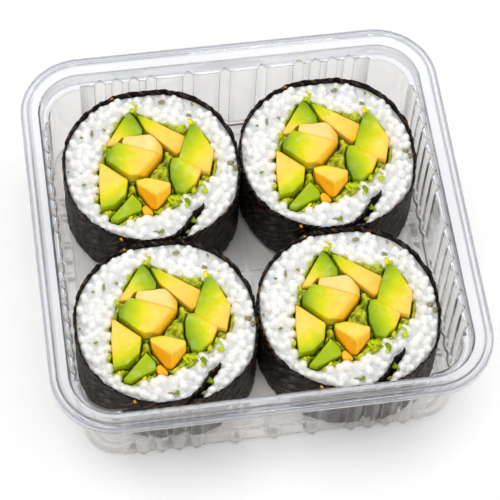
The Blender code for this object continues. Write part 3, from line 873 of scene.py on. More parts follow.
# %% Rice finish
rice_material, tree, shader = new_material("cooked rice")
near_filling = add_node(tree, "ShaderNodeAttribute", attribute_name="near_filling").outputs["Fac"]
grains = object_pattern(tree, 240.0, detail=1.0)
cloud = object_pattern(tree, 420.0, detail=2.0)
pale = colour_ramp(tree, grains, [(0.3, colour(239, 238, 235)), (0.7, colour(248, 247, 244))])
warm = add_node(
    tree, "ShaderNodeMix", {0: near_filling, 6: pale, 7: colour(247, 241, 226)}, data_type="RGBA"
)
tree.links.new(warm.outputs[2], shader.inputs["Base Color"])
gloss = colour_ramp(tree, cloud, [(0.3, (0.25, 0.25, 0.25, 1)), (0.7, (0.42, 0.42, 0.42, 1))])
tree.links.new(gloss, shader.inputs["Roughness"])
shader.inputs["Subsurface Weight"].default_value = 0.8
shader.inputs["Subsurface Radius"].default_value = (1.0, 0.95, 0.9)
shader.inputs["Subsurface Scale"].default_value = 2.2 * MM
bump(tree, shader, cloud, 0.25, 0.15 * MM)
print("rice finish nodes:", len(tree.nodes))

# %% [markdown]
# ### Packing the rice with Geometry Nodes
#
# The tree is built here in code. First come helpers: a tree with named inputs, a Math node in one line, a
# random number with a fixed seed, and numbers stored on points and read back. Random numbers and distances
# belong to the place where they are read, so a value that has to outlast a move is stored first.

# %% Geometry Nodes helpers
# The largest random turn, in radians.
FULL_TURN = 6.28


def new_node_tree(name, inputs):
    """A tree with named inputs. Gives the tree, its input node's sockets and its output node."""
    tree = bpy.data.node_groups.new(name, "GeometryNodeTree")
    tree.interface.new_socket(name="Geometry", in_out="INPUT", socket_type="NodeSocketGeometry")
    for label, kind in inputs:
        tree.interface.new_socket(name=label, in_out="INPUT", socket_type=kind)
    tree.interface.new_socket(name="Geometry", in_out="OUTPUT", socket_type="NodeSocketGeometry")
    given = tree.nodes.new("NodeGroupInput").outputs
    result = tree.nodes.new("NodeGroupOutput")
    return tree, given, result


def maths(tree, operation, first, second=0.0):
    """One Math node."""
    return add_node(tree, "ShaderNodeMath", {0: first, 1: second}, operation=operation).outputs[0]


def random_number(tree, low, high, seed):
    """A random number for each point or instance."""
    span = {2: low, 3: high, 8: seed}
    return add_node(tree, "FunctionNodeRandomValue", span, data_type="FLOAT").outputs[1]


def object_mesh(tree, source):
    """The mesh of an object input."""
    return add_node(tree, "GeometryNodeObjectInfo", {0: source, 1: False}).outputs["Geometry"]


def distance_to(tree, target, kind):
    """Distance of each point to the nearest edge or point of the target."""
    return add_node(tree, "GeometryNodeProximity", {0: target}, target_element=kind).outputs["Distance"]


def store_number(tree, geometry, name, value, domain="POINT"):
    """The geometry with this number stored under a name."""
    kept = {"Geometry": geometry, "Name": name, "Value": value}
    stored = add_node(tree, "GeometryNodeStoreNamedAttribute", kept, data_type="FLOAT", domain=domain)
    return stored.outputs[0]


def stored_number(tree, name):
    """The number stored under this name."""
    return add_node(tree, "GeometryNodeInputNamedAttribute", {"Name": name}, data_type="FLOAT").outputs[0]


def end_tree(tree, instances, given, result):
    """Makes the instances real, joins them with the host's own mesh, and sets the finish."""
    loose = add_node(tree, "GeometryNodeRealizeInstances", {0: instances}).outputs[0]
    joined = add_node(tree, "GeometryNodeJoinGeometry")
    tree.links.new(loose, joined.inputs[0])
    tree.links.new(given["Geometry"], joined.inputs[0])
    dressed = {"Geometry": joined.outputs[0], "Material": given["Finish"]}
    finish = add_node(tree, "GeometryNodeSetMaterial", dressed)
    tree.links.new(finish.outputs[0], result.inputs[0])


print("random turns in degrees, up to:", round(math.degrees(FULL_TURN), 1))

# %% [markdown]
# The points come in two layers over the same bed, the lower one filling the holes of the upper one, and
# those at a listed gap are deleted. The density is set so high that the spacing alone decides.

# %% Spread the grains
DENSE_ENOUGH = 4e6
GAP_RADIUS, GAP_NARROWING = 1.5 * MM, 1.0 * MM


def spread_in_layers(tree, given):
    """Points for two layers of grains outside the gaps. The lower layer has 1 stored as "under"."""
    layers = add_node(tree, "GeometryNodeJoinGeometry")
    for layer in (1.0, 0.0):
        spread = add_node(
            tree,
            "GeometryNodeDistributePointsOnFaces",
            {
                "Mesh": object_mesh(tree, given["Bed"]),
                "Distance Min": given["Spacing"],
                "Density Max": DENSE_ENOUGH,
                "Seed": maths(tree, "ADD", given["Seed"], layer),
            },
            distribute_method="POISSON",
        ).outputs["Points"]
        tree.links.new(store_number(tree, spread, "under", layer), layers.inputs[0])
    to_gap = distance_to(tree, object_mesh(tree, given["Gaps"]), "POINTS")
    narrower = maths(tree, "MULTIPLY", stored_number(tree, "under"), GAP_NARROWING)
    clear = maths(tree, "SUBTRACT", GAP_RADIUS, narrower)
    in_gap = add_node(tree, "FunctionNodeCompare", {0: to_gap, 1: clear}, operation="LESS_THAN").outputs[0]
    outside = {0: layers.outputs[0], 1: in_gap}
    return add_node(tree, "GeometryNodeDeleteGeometry", outside, domain="POINT").outputs[0]


print("gaps in each roll:", len(GAPS))

# %% [markdown]
# A grain may lie flat only where the nearest wall is at least half a grain away: the room left over half
# its width, as a share of what a flat grain needs, is the cosine of its tilt. Its middle is then dropped by
# as much as the tilted grain reaches up, so that all tops end near the cut.

# %% Pose the grains
WALL_GIVE = 0.4 * MM
LEAST_LEAN, MOST_LEAN = 0.1, 0.8


def tilt_and_level(tree, given):
    """The tilt of each grain in radians, and the height of its middle."""
    half_length = maths(tree, "MULTIPLY", given["Length"], 0.5)
    half_width = maths(tree, "MULTIPLY", given["Width"], 0.5)
    to_wall = distance_to(tree, object_mesh(tree, given["Walls"]), "EDGES")
    room = maths(tree, "ADD", to_wall, WALL_GIVE)
    over = maths(tree, "SUBTRACT", room, half_width)
    needed = maths(tree, "SUBTRACT", half_length, half_width)
    spare = maths(tree, "MAXIMUM", maths(tree, "DIVIDE", over, needed), 0.0)
    lean = maths(tree, "MINIMUM", spare, random_number(tree, LEAST_LEAN, MOST_LEAN, 3))
    tilt = maths(tree, "ARCCOSINE", maths(tree, "MINIMUM", lean, 1.0))
    rise = maths(tree, "SINE", tilt)
    flat = maths(tree, "COSINE", tilt)
    tall = maths(tree, "POWER", maths(tree, "MULTIPLY", half_length, rise), 2.0)
    thick = maths(tree, "POWER", maths(tree, "MULTIPLY", half_width, flat), 2.0)
    reach_up = maths(tree, "SQRT", maths(tree, "ADD", tall, thick))
    lowest = maths(tree, "MULTIPLY", given["Unevenness"], -1.0)
    top = maths(tree, "ADD", given["Cut level"], random_number(tree, lowest, given["Unevenness"], 5))
    sunk = maths(tree, "MULTIPLY", stored_number(tree, "under"), given["Layer drop"])
    return tilt, maths(tree, "SUBTRACT", maths(tree, "SUBTRACT", top, sunk), reach_up)


def pack_rice():
    """The whole tree: spread, pose, move to the level, and put a grain on each point."""
    tree, given, result = new_node_tree(
        "pack rice",
        [
            ("Bed", "NodeSocketObject"),
            ("Grain", "NodeSocketObject"),
            ("Walls", "NodeSocketObject"),
            ("Gaps", "NodeSocketObject"),
            ("Spacing", "NodeSocketFloat"),
            ("Length", "NodeSocketFloat"),
            ("Width", "NodeSocketFloat"),
            ("Cut level", "NodeSocketFloat"),
            ("Unevenness", "NodeSocketFloat"),
            ("Layer drop", "NodeSocketFloat"),
            ("Seed", "NodeSocketInt"),
            ("Finish", "NodeSocketMaterial"),
        ],
    )
    points = spread_in_layers(tree, given)
    tilt, level = tilt_and_level(tree, given)
    points = store_number(tree, points, "tilt", tilt)
    points = store_number(tree, points, "level", level)

    where = add_node(tree, "GeometryNodeInputPosition").outputs[0]
    parts = add_node(tree, "ShaderNodeSeparateXYZ", {0: where}).outputs
    at_level = {0: parts[0], 1: parts[1], 2: stored_number(tree, "level")}
    moved = add_node(tree, "ShaderNodeCombineXYZ", at_level).outputs[0]
    points = add_node(tree, "GeometryNodeSetPosition", {"Geometry": points, "Position": moved}).outputs[0]
    turns = {
        0: random_number(tree, 0.0, FULL_TURN, 7),
        1: stored_number(tree, "tilt"),
        2: random_number(tree, 0.0, FULL_TURN, 8),
    }
    grains = add_node(
        tree,
        "GeometryNodeInstanceOnPoints",
        {
            "Points": points,
            "Instance": object_mesh(tree, given["Grain"]),
            "Rotation": add_node(tree, "ShaderNodeCombineXYZ", turns).outputs[0],
            "Scale": random_number(tree, 0.8, 1.06, 9),
        },
    ).outputs[0]
    end_tree(tree, grains, given, result)
    return tree


def run_tree(host, tree, values, name):
    """Runs a tree on a host object, with its inputs set by identifier, and keeps the result as a mesh."""
    modifier = host.modifiers.new(tree.name, "NODES")
    modifier.node_group = tree
    for item in tree.interface.items_tree:
        if item.in_out == "INPUT" and item.name in values:
            modifier[item.identifier] = values[item.name]
    return finished(host, name)


rice_packer = pack_rice()
print("nodes that pack the rice:", len(rice_packer.nodes))

# %% [markdown]
# Cooked grains are sticky, and where two of them touch, the joint is a soft valley. A voxel remesh of the
# grains and a thin slab below them gives that: it melts the pieces into one skin, which a little
# smoothing then relaxes. The plain body under the slab is not remeshed, to keep the mesh light. The bed
# is narrower than the slab, because a grain reaches further than the point that it stands on.

# %% Rice in the rolls
VOXEL = 0.24 * MM
CRUST_BOTTOM = 25.0 * MM
SEAWEED_CLEAR = 0.75
WARM_REACH = 3.5


def keep_inside(mesh, clear):
    """Pulls stray points back, so that no grain comes within this many mm of the roll's edge."""
    for vertex in mesh.vertices:
        angle = math.degrees(math.atan2(vertex.co.y, vertex.co.x))
        limit = (read_round(ROLL_EDGE, angle, ease=True) - clear) * MM
        radius = vertex.co.xy.length
        if radius > limit:
            vertex.co.x *= limit / radius
            vertex.co.y *= limit / radius


def warm_near_filling(mesh):
    """Marks each point by how near the filling it is, from 1 at its edge down to 0."""
    marks = mesh.attributes.new("near_filling", "FLOAT", "POINT")
    for vertex, mark in zip(mesh.vertices, marks.data):
        angle = math.degrees(math.atan2(vertex.co.y, vertex.co.x))
        away = vertex.co.xy.length / MM - read_round(FILLING_EDGE, angle)
        mark.value = min(1.0, max(0.0, 1.0 - away / WARM_REACH))


crust = ring_solid("crust", rice_outline(), filling_outline(0.3), CRUST_BOTTOM, RICE_CORE_TOP, rice_material)
bed = ring_solid("bed", rice_outline(0.9), filling_outline(0.2), None, RICE_CORE_TOP, rice_material)
walls = outline_edges("walls", [rice_outline(), filling_outline(-1.6)], RICE_CORE_TOP)
gap_mesh = bpy.data.meshes.new("gaps")
gap_mesh.from_pydata([(x * MM, y * MM, RICE_CORE_TOP) for x, y in GAPS], [], [])
gaps = bpy.data.objects.new("gaps", gap_mesh)
bpy.context.scene.collection.objects.link(gaps)
grain_shape = build_grain(rice_material)
crust = run_tree(
    crust,
    rice_packer,
    {
        "Bed": bed,
        "Grain": grain_shape,
        "Walls": walls,
        "Gaps": gaps,
        "Spacing": 2.95 * MM,
        "Length": GRAIN_LENGTH,
        "Width": GRAIN_WIDTH,
        "Cut level": CUT_LEVEL,
        "Unevenness": 0.35 * MM,
        "Layer drop": 0.75 * MM,
        "Seed": 4,
        "Finish": rice_material,
    },
    "crust",
)
for vertex in crust.data.vertices:
    vertex.co.z = max(CRUST_BOTTOM, vertex.co.z)
keep_inside(crust.data, SEAWEED_CLEAR)
melt = crust.modifiers.new("melt together", "REMESH")
melt.mode = "VOXEL"
melt.voxel_size = VOXEL
melt.use_smooth_shade = True
relax = crust.modifiers.new("relax", "SMOOTH")
relax.factor = 0.2
relax.iterations = 1
crust = finished(crust, "crust")
body_top = CRUST_BOTTOM + 0.3 * MM
body = ring_solid("body", rice_outline(0.05), filling_outline(0.35), ROLL_BOTTOM, body_top, rice_material)
bm = bmesh.new()
bm.from_mesh(crust.data)
bm.from_mesh(body.data)
bpy.data.objects.remove(body, do_unlink=True)
bpy.data.objects.remove(crust, do_unlink=True)
for helper in (bed, walls, gaps, grain_shape):
    bpy.data.objects.remove(helper, do_unlink=True)
rice = object_from(bm, "rice", [rice_material])
warm_near_filling(rice.data)
copy_to_rolls(rice, "rice", "packed_rice")

# %% [markdown]
# ## Avocado strips
#
# Avocado flesh goes from deep green under the skin over lime to butter yellow at the stone, so each strip
# shows its own slice of that range, depending on where it was cut. Each strip is a loft of rings: up the
# sides, round the cut edge, and inwards over the top. The rings are close enough together to carry the
# colour as an attribute, and slanting cuts are planes that pull the top down.

# %% Strip tables
GREEN, LEAF, LIME = colour(118, 150, 0), colour(164, 188, 2), colour(200, 210, 14)
LEMON, BUTTER, CREAM = colour(231, 218, 64), colour(246, 218, 104), colour(248, 223, 146)
PEACH, ORANGE, AMBER_SHADE = colour(247, 208, 102), colour(250, 188, 64), colour(240, 162, 34)

# Corners of the cut end in mm, then lift over the roll's top and slopes along X and Y, then the direction in
# degrees from the green side to the yellow one and the colours at shares of that way.
STRIPS = {
    "back_left": (
        [(-5.2, 20.8), (-3.7, 19.0), (-1.6, 13.6), (-1.9, 11.2), (-8.4, 11.2), (-10.6, 8.6), (-13.5, 8.9)],
        (-0.2, 0.04, -0.03),
        (215, [(0.0, GREEN), (0.25, LEAF), (0.42, LIME), (0.56, LEMON), (0.75, BUTTER)]),
    ),
    "back_slab": (
        [(-2.4, 19.0), (0.2, 17.9), (11.9, 8.9), (9.6, 3.4), (8.4, 2.9), (-0.2, 12.9)],
        (0.1, 0.02, 0.0),
        (-52, [(0.0, LEAF), (0.12, LIME), (0.35, LEMON), (0.5, BUTTER), (0.8, PEACH), (1.0, ORANGE)]),
    ),
    "right": (
        [(14.5, 13.2), (16.9, 11.2), (20.4, 2.0), (18.2, -5.4), (15.9, -4.6), (9.0, 0.9), (11.6, 7.4)],
        (0.6, 0.03, 0.02),
        (-42, [(0.0, GREEN), (0.15, LEAF), (0.35, LIME), (0.55, LEMON), (0.75, BUTTER), (1.0, PEACH)]),
    ),
    "middle_pale": (
        [(-8.6, 7.75), (-7.6, 10.2), (0.8, 10.0), (4.2, 6.2), (3.7, 2.6)],
        (1.6, 0.0, 0.05),
        (-20, [(0.0, CREAM), (0.7, CREAM), (1.0, PEACH)]),
    ),
    "middle_large": (
        [(-10.2, 8.0), (3.5, 2.3), (-2.8, -4.2), (-7.4, -4.2), (-14.3, 2.4), (-13.7, 4.8)],
        (1.9, 0.0, 0.06),
        (-14, [(0.0, GREEN), (0.12, LEAF), (0.28, LIME), (0.42, LEMON), (0.6, BUTTER), (0.9, PEACH)]),
    ),
    "left": (
        [
            (-16.4, 2.2),
            (-15.6, 1.8),
            (-8.4, -5.2),
            (-9.6, -10.2),
            (-13.6, -13.6),
            (-17.9, -14.2),
            (-17.4, -5.0),
        ],
        (0.4, 0.02, 0.0),
        (112, [(0.0, LEAF), (0.12, LIME), (0.3, LEMON), (0.5, BUTTER), (1.0, BUTTER)]),
    ),
    "right_lower": (
        [
            (7.0, 1.0),
            (9.0, 0.9),
            (15.5, -4.4),
            (13.2, -8.6),
            (9.2, -11.8),
            (6.6, -11.0),
            (5.6, -6.0),
            (5.9, -1.5),
        ],
        (0.5, -0.02, 0.02),
        (8, [(0.0, GREEN), (0.25, LEAF), (0.5, LIME), (0.68, LEMON), (0.85, BUTTER), (1.0, PEACH)]),
    ),
    "front_left": (
        [(-7.4, -10.2), (-5.0, -13.8), (-5.2, -16.0), (-13.0, -19.0), (-15.3, -18.2)],
        (-0.5, 0.0, 0.0),
        (-60, [(0.0, LIME), (0.3, LEAF), (1.0, LEAF)]),
    ),
    "front_middle": (
        [(-5.6, -6.2), (-2.0, -5.8), (4.9, -8.4), (4.7, -11.2), (-0.2, -15.9), (-1.8, -15.2), (-5.2, -9.4)],
        (1.2, 0.0, 0.02),
        (-80, [(0.0, LIME), (0.06, LEMON), (0.16, BUTTER), (1.0, PEACH)]),
    ),
    "front_small": (
        [(-4.9, -15.4), (-3.6, -14.4), (-2.2, -16.4), (-1.6, -17.6), (-4.4, -17.6)],
        (-0.8, 0.0, 0.0),
        (0, [(0.0, ORANGE), (1.0, ORANGE)]),
    ),
}
# Slanting cuts: a point on the ridge in mm, direction in degrees, drop per mm beyond it, and the colour, a
# painted shade for the face that slopes away.
SLANTS = {
    "middle_pale": [((2.5, 6.0), 5, 0.9, PEACH)],
    "middle_large": [((-0.6, 0.2), -46, 0.8, ORANGE)],
    "front_middle": [((-3.3, -9.2), 229, 0.85, AMBER_SHADE), ((2.9, -10.6), -61, 0.8, ORANGE)],
}
print("strips in a roll:", len(STRIPS), "of them with slanting cuts:", len(SLANTS))

# %% [markdown]
# A knife drags soft flesh round at the corners, so a strip's corners are rounded before it is lofted. Its
# colour at a place is read from its stops by the share of the way across the strip.

# %% Strip outlines
# How far a strip is grown from its corners, how round they get, and how close its points are, in mm.
STRIP_GROWTH, STRIP_ROUNDING, POINT_SPACING = 0.2, 0.6, 0.55


def rounded(corners, radius, spacing):
    """The outline with its corners rounded, as evenly close points, anticlockwise, in mm."""
    area = sum(a.x * b.y - b.x * a.y for a, b in zip(corners, corners[1:] + corners[:1]))
    if area < 0:
        corners = corners[::-1]
    soft = []
    for i, here in enumerate(corners):
        before, after = corners[i - 1], corners[(i + 1) % len(corners)]
        cut = min(radius, 0.4 * (before - here).length, 0.4 * (after - here).length)
        start = here + (before - here).normalized() * cut
        end = here + (after - here).normalized() * cut
        for step in range(5):
            t = step / 4
            soft.append(start * (1 - t) ** 2 + here * 2 * t * (1 - t) + end * t * t)
    points = []
    for here, after in zip(soft, soft[1:] + soft[:1]):
        count = max(1, round((after - here).length / spacing))
        points += [here.lerp(after, i / count) for i in range(count)]
    return points


def grown_corners(corners, by):
    """The corners moved away from their middle by this many mm."""
    middle = sum(corners, Vector((0, 0))) / len(corners)
    return [corner + (corner - middle).normalized() * by for corner in corners]


def ramp_colour(stops, share):
    """The colour at this share of a list of (share, colour)."""
    for (low, first), (high, second) in zip(stops, stops[1:]):
        if share <= high:
            mix = min(1.0, max(0.0, (share - low) / (high - low)))
            return Vector(first).lerp(Vector(second), mix)
    return Vector(stops[-1][1])


def strip_outline(name):
    """The corners of a strip, and the soft outline that its rings follow."""
    corners = [Vector(corner) for corner in STRIPS[name][0]]
    return corners, rounded(grown_corners(corners, STRIP_GROWTH), STRIP_ROUNDING, POINT_SPACING)


for name in STRIPS:
    print(name, "points round it:", len(strip_outline(name)[1]))

# %% [markdown]
# Every ring of the loft is this outline, drawn in towards its middle on the way over the top. The wall needs
# few rings and the cut edge needs them close together. On the top there is one about every half millimetre,
# for the slope, the slanting cuts, the fine relief and the colours.

# %% Strip shape
# Round the cut edge: inset and depth under the top in mm, and the share of the darker edge colour, a painted
# shade.
EDGE_RINGS = [(0.0, 1.6, 0.1), (0.0, 0.8, 0.25), (0.01, 0.25, 0.6), (0.06, 0.08, 0.7), (0.16, 0.02, 0.4)]
# Over the top: rings this far apart in mm, this many at most, and up to this share of the way in.
RING_SPACING, RINGS_AT_MOST, LAST_RING = 0.55, 40, 0.92


def build_strip(name, material):
    """One strip of avocado with its colours as a point attribute."""
    _, (lift, slope_x, slope_y), (heading, stops) = STRIPS[name]
    corners, outline = strip_outline(name)
    middle = sum(outline, Vector((0, 0))) / len(outline)
    heading = Vector((math.cos(math.radians(heading)), math.sin(math.radians(heading))))
    reach = [corner.dot(heading) for corner in corners]
    nearest, farthest = min(reach), max(reach)
    top = ROLL_TOP / MM + lift

    def surface(point):
        """Height of the top here in mm, and how far below the main cut a slanting cut has taken it."""
        offset = point - middle
        level = top + slope_x * offset.x + slope_y * offset.y
        level += 0.16 * noise.noise(Vector((point.x / 2.6, point.y / 2.6, lift)))
        level += 0.05 * noise.noise(Vector((point.x / 0.8, point.y / 0.8, 9 + lift)))
        deepest, tint = 0.0, None
        for ridge, angle, fall, shade in SLANTS.get(name, []):
            away = Vector((math.cos(math.radians(angle)), math.sin(math.radians(angle))))
            drop = fall * (point - Vector(ridge)).dot(away)
            if drop > deepest:
                deepest, tint = drop, shade
        return level - deepest, deepest, tint

    def paint(point, deep, tint, rim):
        """The colour here, with painted shade where a slanting cut slopes away and along the cut edge."""
        share = (point.dot(heading) - nearest) / (farthest - nearest)
        share += 0.07 * noise.noise(Vector((point.x / 3.0, point.y / 3.0, 20 + lift)))
        shown = ramp_colour(stops, share)
        # Painted shade on the face that a slanting cut slopes away.
        if tint is not None:
            shown = shown.lerp(Vector(tint), min(1.0, deep / 0.35) * 0.85)
        # Painted shade along the rounded cut edge, where strips meet in dark cracks: amber over yellow flesh,
        # green over green.
        edge = AMBER_SHADE if shown[0] > 0.55 else GREEN
        return shown.lerp(Vector(edge), 0.4 * rim)

    bm = bmesh.new()
    layer = bm.verts.layers.float_color.new("flesh")
    rings = []
    for height in (ROLL_BOTTOM / MM, 12.0, 20.0, 23.0):
        ring = []
        for point in outline:
            vertex = bm.verts.new((point.x * MM, point.y * MM, height * MM))
            vertex[layer] = paint(point, 0, None, 0)
            ring.append(vertex)
        rings.append(ring)
    inward = [(0.5 + RING_SPACING * i, 0.0, 0.15 if i == 0 else 0.0) for i in range(RINGS_AT_MOST)]
    size = min((point - middle).length for point in outline)
    for inset, below, rim in EDGE_RINGS + inward:
        if inset > LAST_RING * size:
            break
        ring = []
        for point in outline:
            spot = point + (middle - point) * (inset / size)
            level, deep, tint = surface(spot)
            vertex = bm.verts.new((spot.x * MM, spot.y * MM, (level - below) * MM))
            vertex[layer] = paint(spot, deep, tint, rim)
            ring.append(vertex)
        rings.append(ring)
    level, deep, tint = surface(middle)
    peak = bm.verts.new((middle.x * MM, middle.y * MM, level * MM))
    peak[layer] = paint(middle, deep, tint, 0)
    count = len(outline)
    for lower, upper in zip(rings, rings[1:]):
        for i in range(count):
            j = (i + 1) % count
            bm.faces.new((lower[i], lower[j], upper[j], upper[i]))
    for i in range(count):
        bm.faces.new((rings[-1][i], rings[-1][(i + 1) % count], peak))
    bm.faces.new(list(reversed(rings[0])))
    return object_from(bm, name, [material])


print("rings round a cut edge:", len(EDGE_RINGS))

# %% [markdown]
# The flesh takes its colour from the attribute "flesh", with a fine mottle over it. One noise steers both
# the roughness and the bump, so what stands proud is also more matt. A second, wider noise lays a wet film
# over some patches, which is the shader's coat.

# %% Avocado finish
avocado, tree, shader = new_material("avocado flesh")
flesh = add_node(tree, "ShaderNodeAttribute", attribute_name="flesh").outputs["Color"]
mottle = object_pattern(tree, 260.0, detail=4.0)
spread = {"Value": mottle, "From Min": 0.3, "From Max": 0.7, "To Min": 0.93, "To Max": 1.05}
value = add_node(tree, "ShaderNodeMapRange", spread)
tinted = add_node(
    tree, "ShaderNodeHueSaturation", {"Color": flesh, "Value": value.outputs[0], "Saturation": 1.05}
)
tree.links.new(tinted.outputs[0], shader.inputs["Base Color"])
wet = object_pattern(tree, 520.0, detail=3.0)
gloss = colour_ramp(tree, wet, [(0.35, (0.14, 0.14, 0.14, 1)), (0.65, (0.4, 0.4, 0.4, 1))])
tree.links.new(gloss, shader.inputs["Roughness"])
shader.inputs["Subsurface Weight"].default_value = 0.15
shader.inputs["Subsurface Radius"].default_value = (1.0, 0.8, 0.3)
shader.inputs["Subsurface Scale"].default_value = 1.0 * MM
shader.inputs["Specular IOR Level"].default_value = 0.14
patches = object_pattern(tree, 300.0, detail=2.0)
wet_share = {"Value": patches, "From Min": 0.56, "From Max": 0.66, "To Max": 0.8}
film = add_node(tree, "ShaderNodeMapRange", wet_share)
tree.links.new(film.outputs[0], shader.inputs["Coat Weight"])
shader.inputs["Coat Roughness"].default_value = 0.12
bump(tree, shader, wet, 0.6, 0.2 * MM)
for strip in STRIPS:
    copy_to_rolls(build_strip(strip, avocado), f"avocado_{strip}", f"avocado_slice_{strip}")

# %% [markdown]
# ## Mashed avocado
#
# Soft avocado is pressed between the strips and smears into wet lumps. Its top is a fine polar grid moved
# by three sizes of noise. It pulls away from the strips in a narrow crevice, it heaps up where the picture
# shows it standing proud, and its colour follows the relief as painted shade and light: dark green in the
# hollows and the crevice, lime on the crests. Crumbs of it are scattered over the top by Geometry Nodes.

# %% Mash
# Place, width and height in mm of each heap, or hollow where the height is below 0.
HEAPS = [
    (4.0, 3.6, 1.5, 1.5),
    (5.6, 1.0, 1.4, 1.3),
    (4.1, -2.1, 1.6, 1.5),
    (3.4, -5.0, 1.3, 0.8),
    (1.5, 11.3, 2.0, 0.9),
    (7.0, -12.3, 1.8, 0.7),
    (-3.2, 20.4, 1.6, 0.9),
    (-11.6, -14.6, 2.4, -1.6),
    (-1.4, 15.5, 1.6, -1.2),
]


def lumps(x, y):
    """Relief of the mash in mm at this place, about its mean."""
    place = Vector((x, y, 3.0))
    return 0.8 * noise.noise(place / 2.0) + 0.7 * noise.noise(place / 1.05) + 0.12 * noise.noise(place / 0.45)


def distance_to_outline(x, y, corners):
    """Distance in mm from this place to a closed outline."""
    here = Vector((x, y))
    nearest = 99.0
    for start, end in zip(corners, corners[1:] + corners[:1]):
        along = end - start
        share = min(1.0, max(0.0, (here - start).dot(along) / along.length_squared))
        nearest = min(nearest, (start + along * share - here).length)
    return nearest


STRIP_EDGES = [[Vector(corner) for corner in STRIPS[name][0]] for name in STRIPS]
CREVICE_WIDTH, CREVICE_DEPTH = 1.0, 2.4


def heaped(x, y):
    """How far the heaps and hollows lift the mash in mm at this place."""
    total = 0.0
    for heap_x, heap_y, width, rise in HEAPS:
        away = math.hypot(x - heap_x, y - heap_y) / width
        total += rise * math.exp(-away * away)
    return total


def mash_level(x, y):
    """Height of the mash in mm at this place: it pulls away from the strips in a narrow crevice."""
    nearest = min(distance_to_outline(x, y, corners) for corners in STRIP_EDGES)
    crevice = CREVICE_DEPTH * max(0.0, 1.0 - nearest / CREVICE_WIDTH)
    return FILLING_TOP / MM + lumps(x, y) + heaped(x, y) - crevice


# Points round the mash, rings from its middle to its edge, and how much closer the outer rings lie.
MASH_AROUND, MASH_RINGS, RING_CROWDING = 260, 52, 0.8


def build_mash(material):
    """The mash as a closed solid with a fine top."""
    bm = bmesh.new()
    layer = bm.verts.layers.float.new("crest")
    middle = bm.verts.new((0, 0, mash_level(0, 0) * MM))
    middle[layer] = 0.45
    rings = []
    for k in range(1, MASH_RINGS + 1):
        ring = []
        for i in range(MASH_AROUND):
            angle = 360 * i / MASH_AROUND
            radius = (read_round(FILLING_EDGE, angle) + 0.2) * (k / MASH_RINGS) ** RING_CROWDING
            x, y = radius * math.cos(math.radians(angle)), radius * math.sin(math.radians(angle))
            level = mash_level(x, y)
            vertex = bm.verts.new((x * MM, y * MM, level * MM))
            # Painted shade and light: the lower the point lies in the lumps and the crevice, the darker its
            # green.
            vertex[layer] = min(1.0, max(0.0, 0.5 + 0.5 * (level - heaped(x, y) - FILLING_TOP / MM)))
            ring.append(vertex)
        rings.append(ring)
    bottom = [bm.verts.new((vertex.co.x, vertex.co.y, ROLL_BOTTOM)) for vertex in rings[-1]]
    rings.append(bottom)
    for inner, outer in zip(rings, rings[1:]):
        for i in range(MASH_AROUND):
            j = (i + 1) % MASH_AROUND
            bm.faces.new((inner[i], inner[j], outer[j], outer[i]))
    for i in range(MASH_AROUND):
        bm.faces.new((middle, rings[0][i], rings[0][(i + 1) % MASH_AROUND]))
    bm.faces.new(bottom)
    return object_from(bm, "mash", [material])


print("mash level at the middle in mm:", round(mash_level(0, 0), 2))

# %% [markdown]
# The finish reads the relief back as an attribute, which is painted shade in the hollows and painted light
# on the crests. It adds a patchy noise to that, the mash's own uneven tone, before the colours are looked up.
# A low roughness makes it look wet.

# %% Mash finish
mash_material, tree, shader = new_material("mashed avocado")
crest = add_node(tree, "ShaderNodeAttribute", attribute_name="crest").outputs["Fac"]
patches = object_pattern(tree, 330.0, detail=3.0)
half = add_node(tree, "ShaderNodeMath", {0: patches, 1: 0.8}, operation="MULTIPLY")
whole = add_node(tree, "ShaderNodeMath", {0: crest, 1: half.outputs[0]}, operation="ADD")
tone = add_node(tree, "ShaderNodeMath", {0: whole.outputs[0], 1: 0.2}, operation="SUBTRACT")
green = colour_ramp(
    tree,
    tone.outputs[0],
    [
        (0.08, colour(22, 30, 2)),
        (0.32, colour(84, 104, 2)),
        (0.58, colour(146, 160, 6)),
        (0.95, colour(208, 208, 40)),
    ],
)
tree.links.new(green, shader.inputs["Base Color"])
shader.inputs["Roughness"].default_value = 0.2
shader.inputs["Specular IOR Level"].default_value = 0.3
shader.inputs["Subsurface Weight"].default_value = 0.15
shader.inputs["Subsurface Radius"].default_value = (0.8, 1.0, 0.2)
shader.inputs["Subsurface Scale"].default_value = 1.0 * MM
bump(tree, shader, object_pattern(tree, 1100.0, detail=3.0), 0.35, 0.15 * MM)
print("mash finish nodes:", len(tree.nodes))

# %% [markdown]
# Crumbs lie where the mash faces up. One torn lump is scattered over it in random turns and sizes, with a
# random place in the mash's range of colours, by the second tree of Geometry Nodes.

# %% Crumbs
# So high that the spacing alone decides how many there are.
CRUMBS_DENSE_ENOUGH = 3e6


def build_crumb(material):
    """A small torn lump."""
    bm = bmesh.new()
    bmesh.ops.create_icosphere(bm, subdivisions=1, radius=0.5)
    for vertex in bm.verts:
        vertex.co *= 1.0 + 0.5 * noise.noise(vertex.co * 2.3)
        vertex.co.z *= 0.7
    return object_from(bm, "crumb", [material])


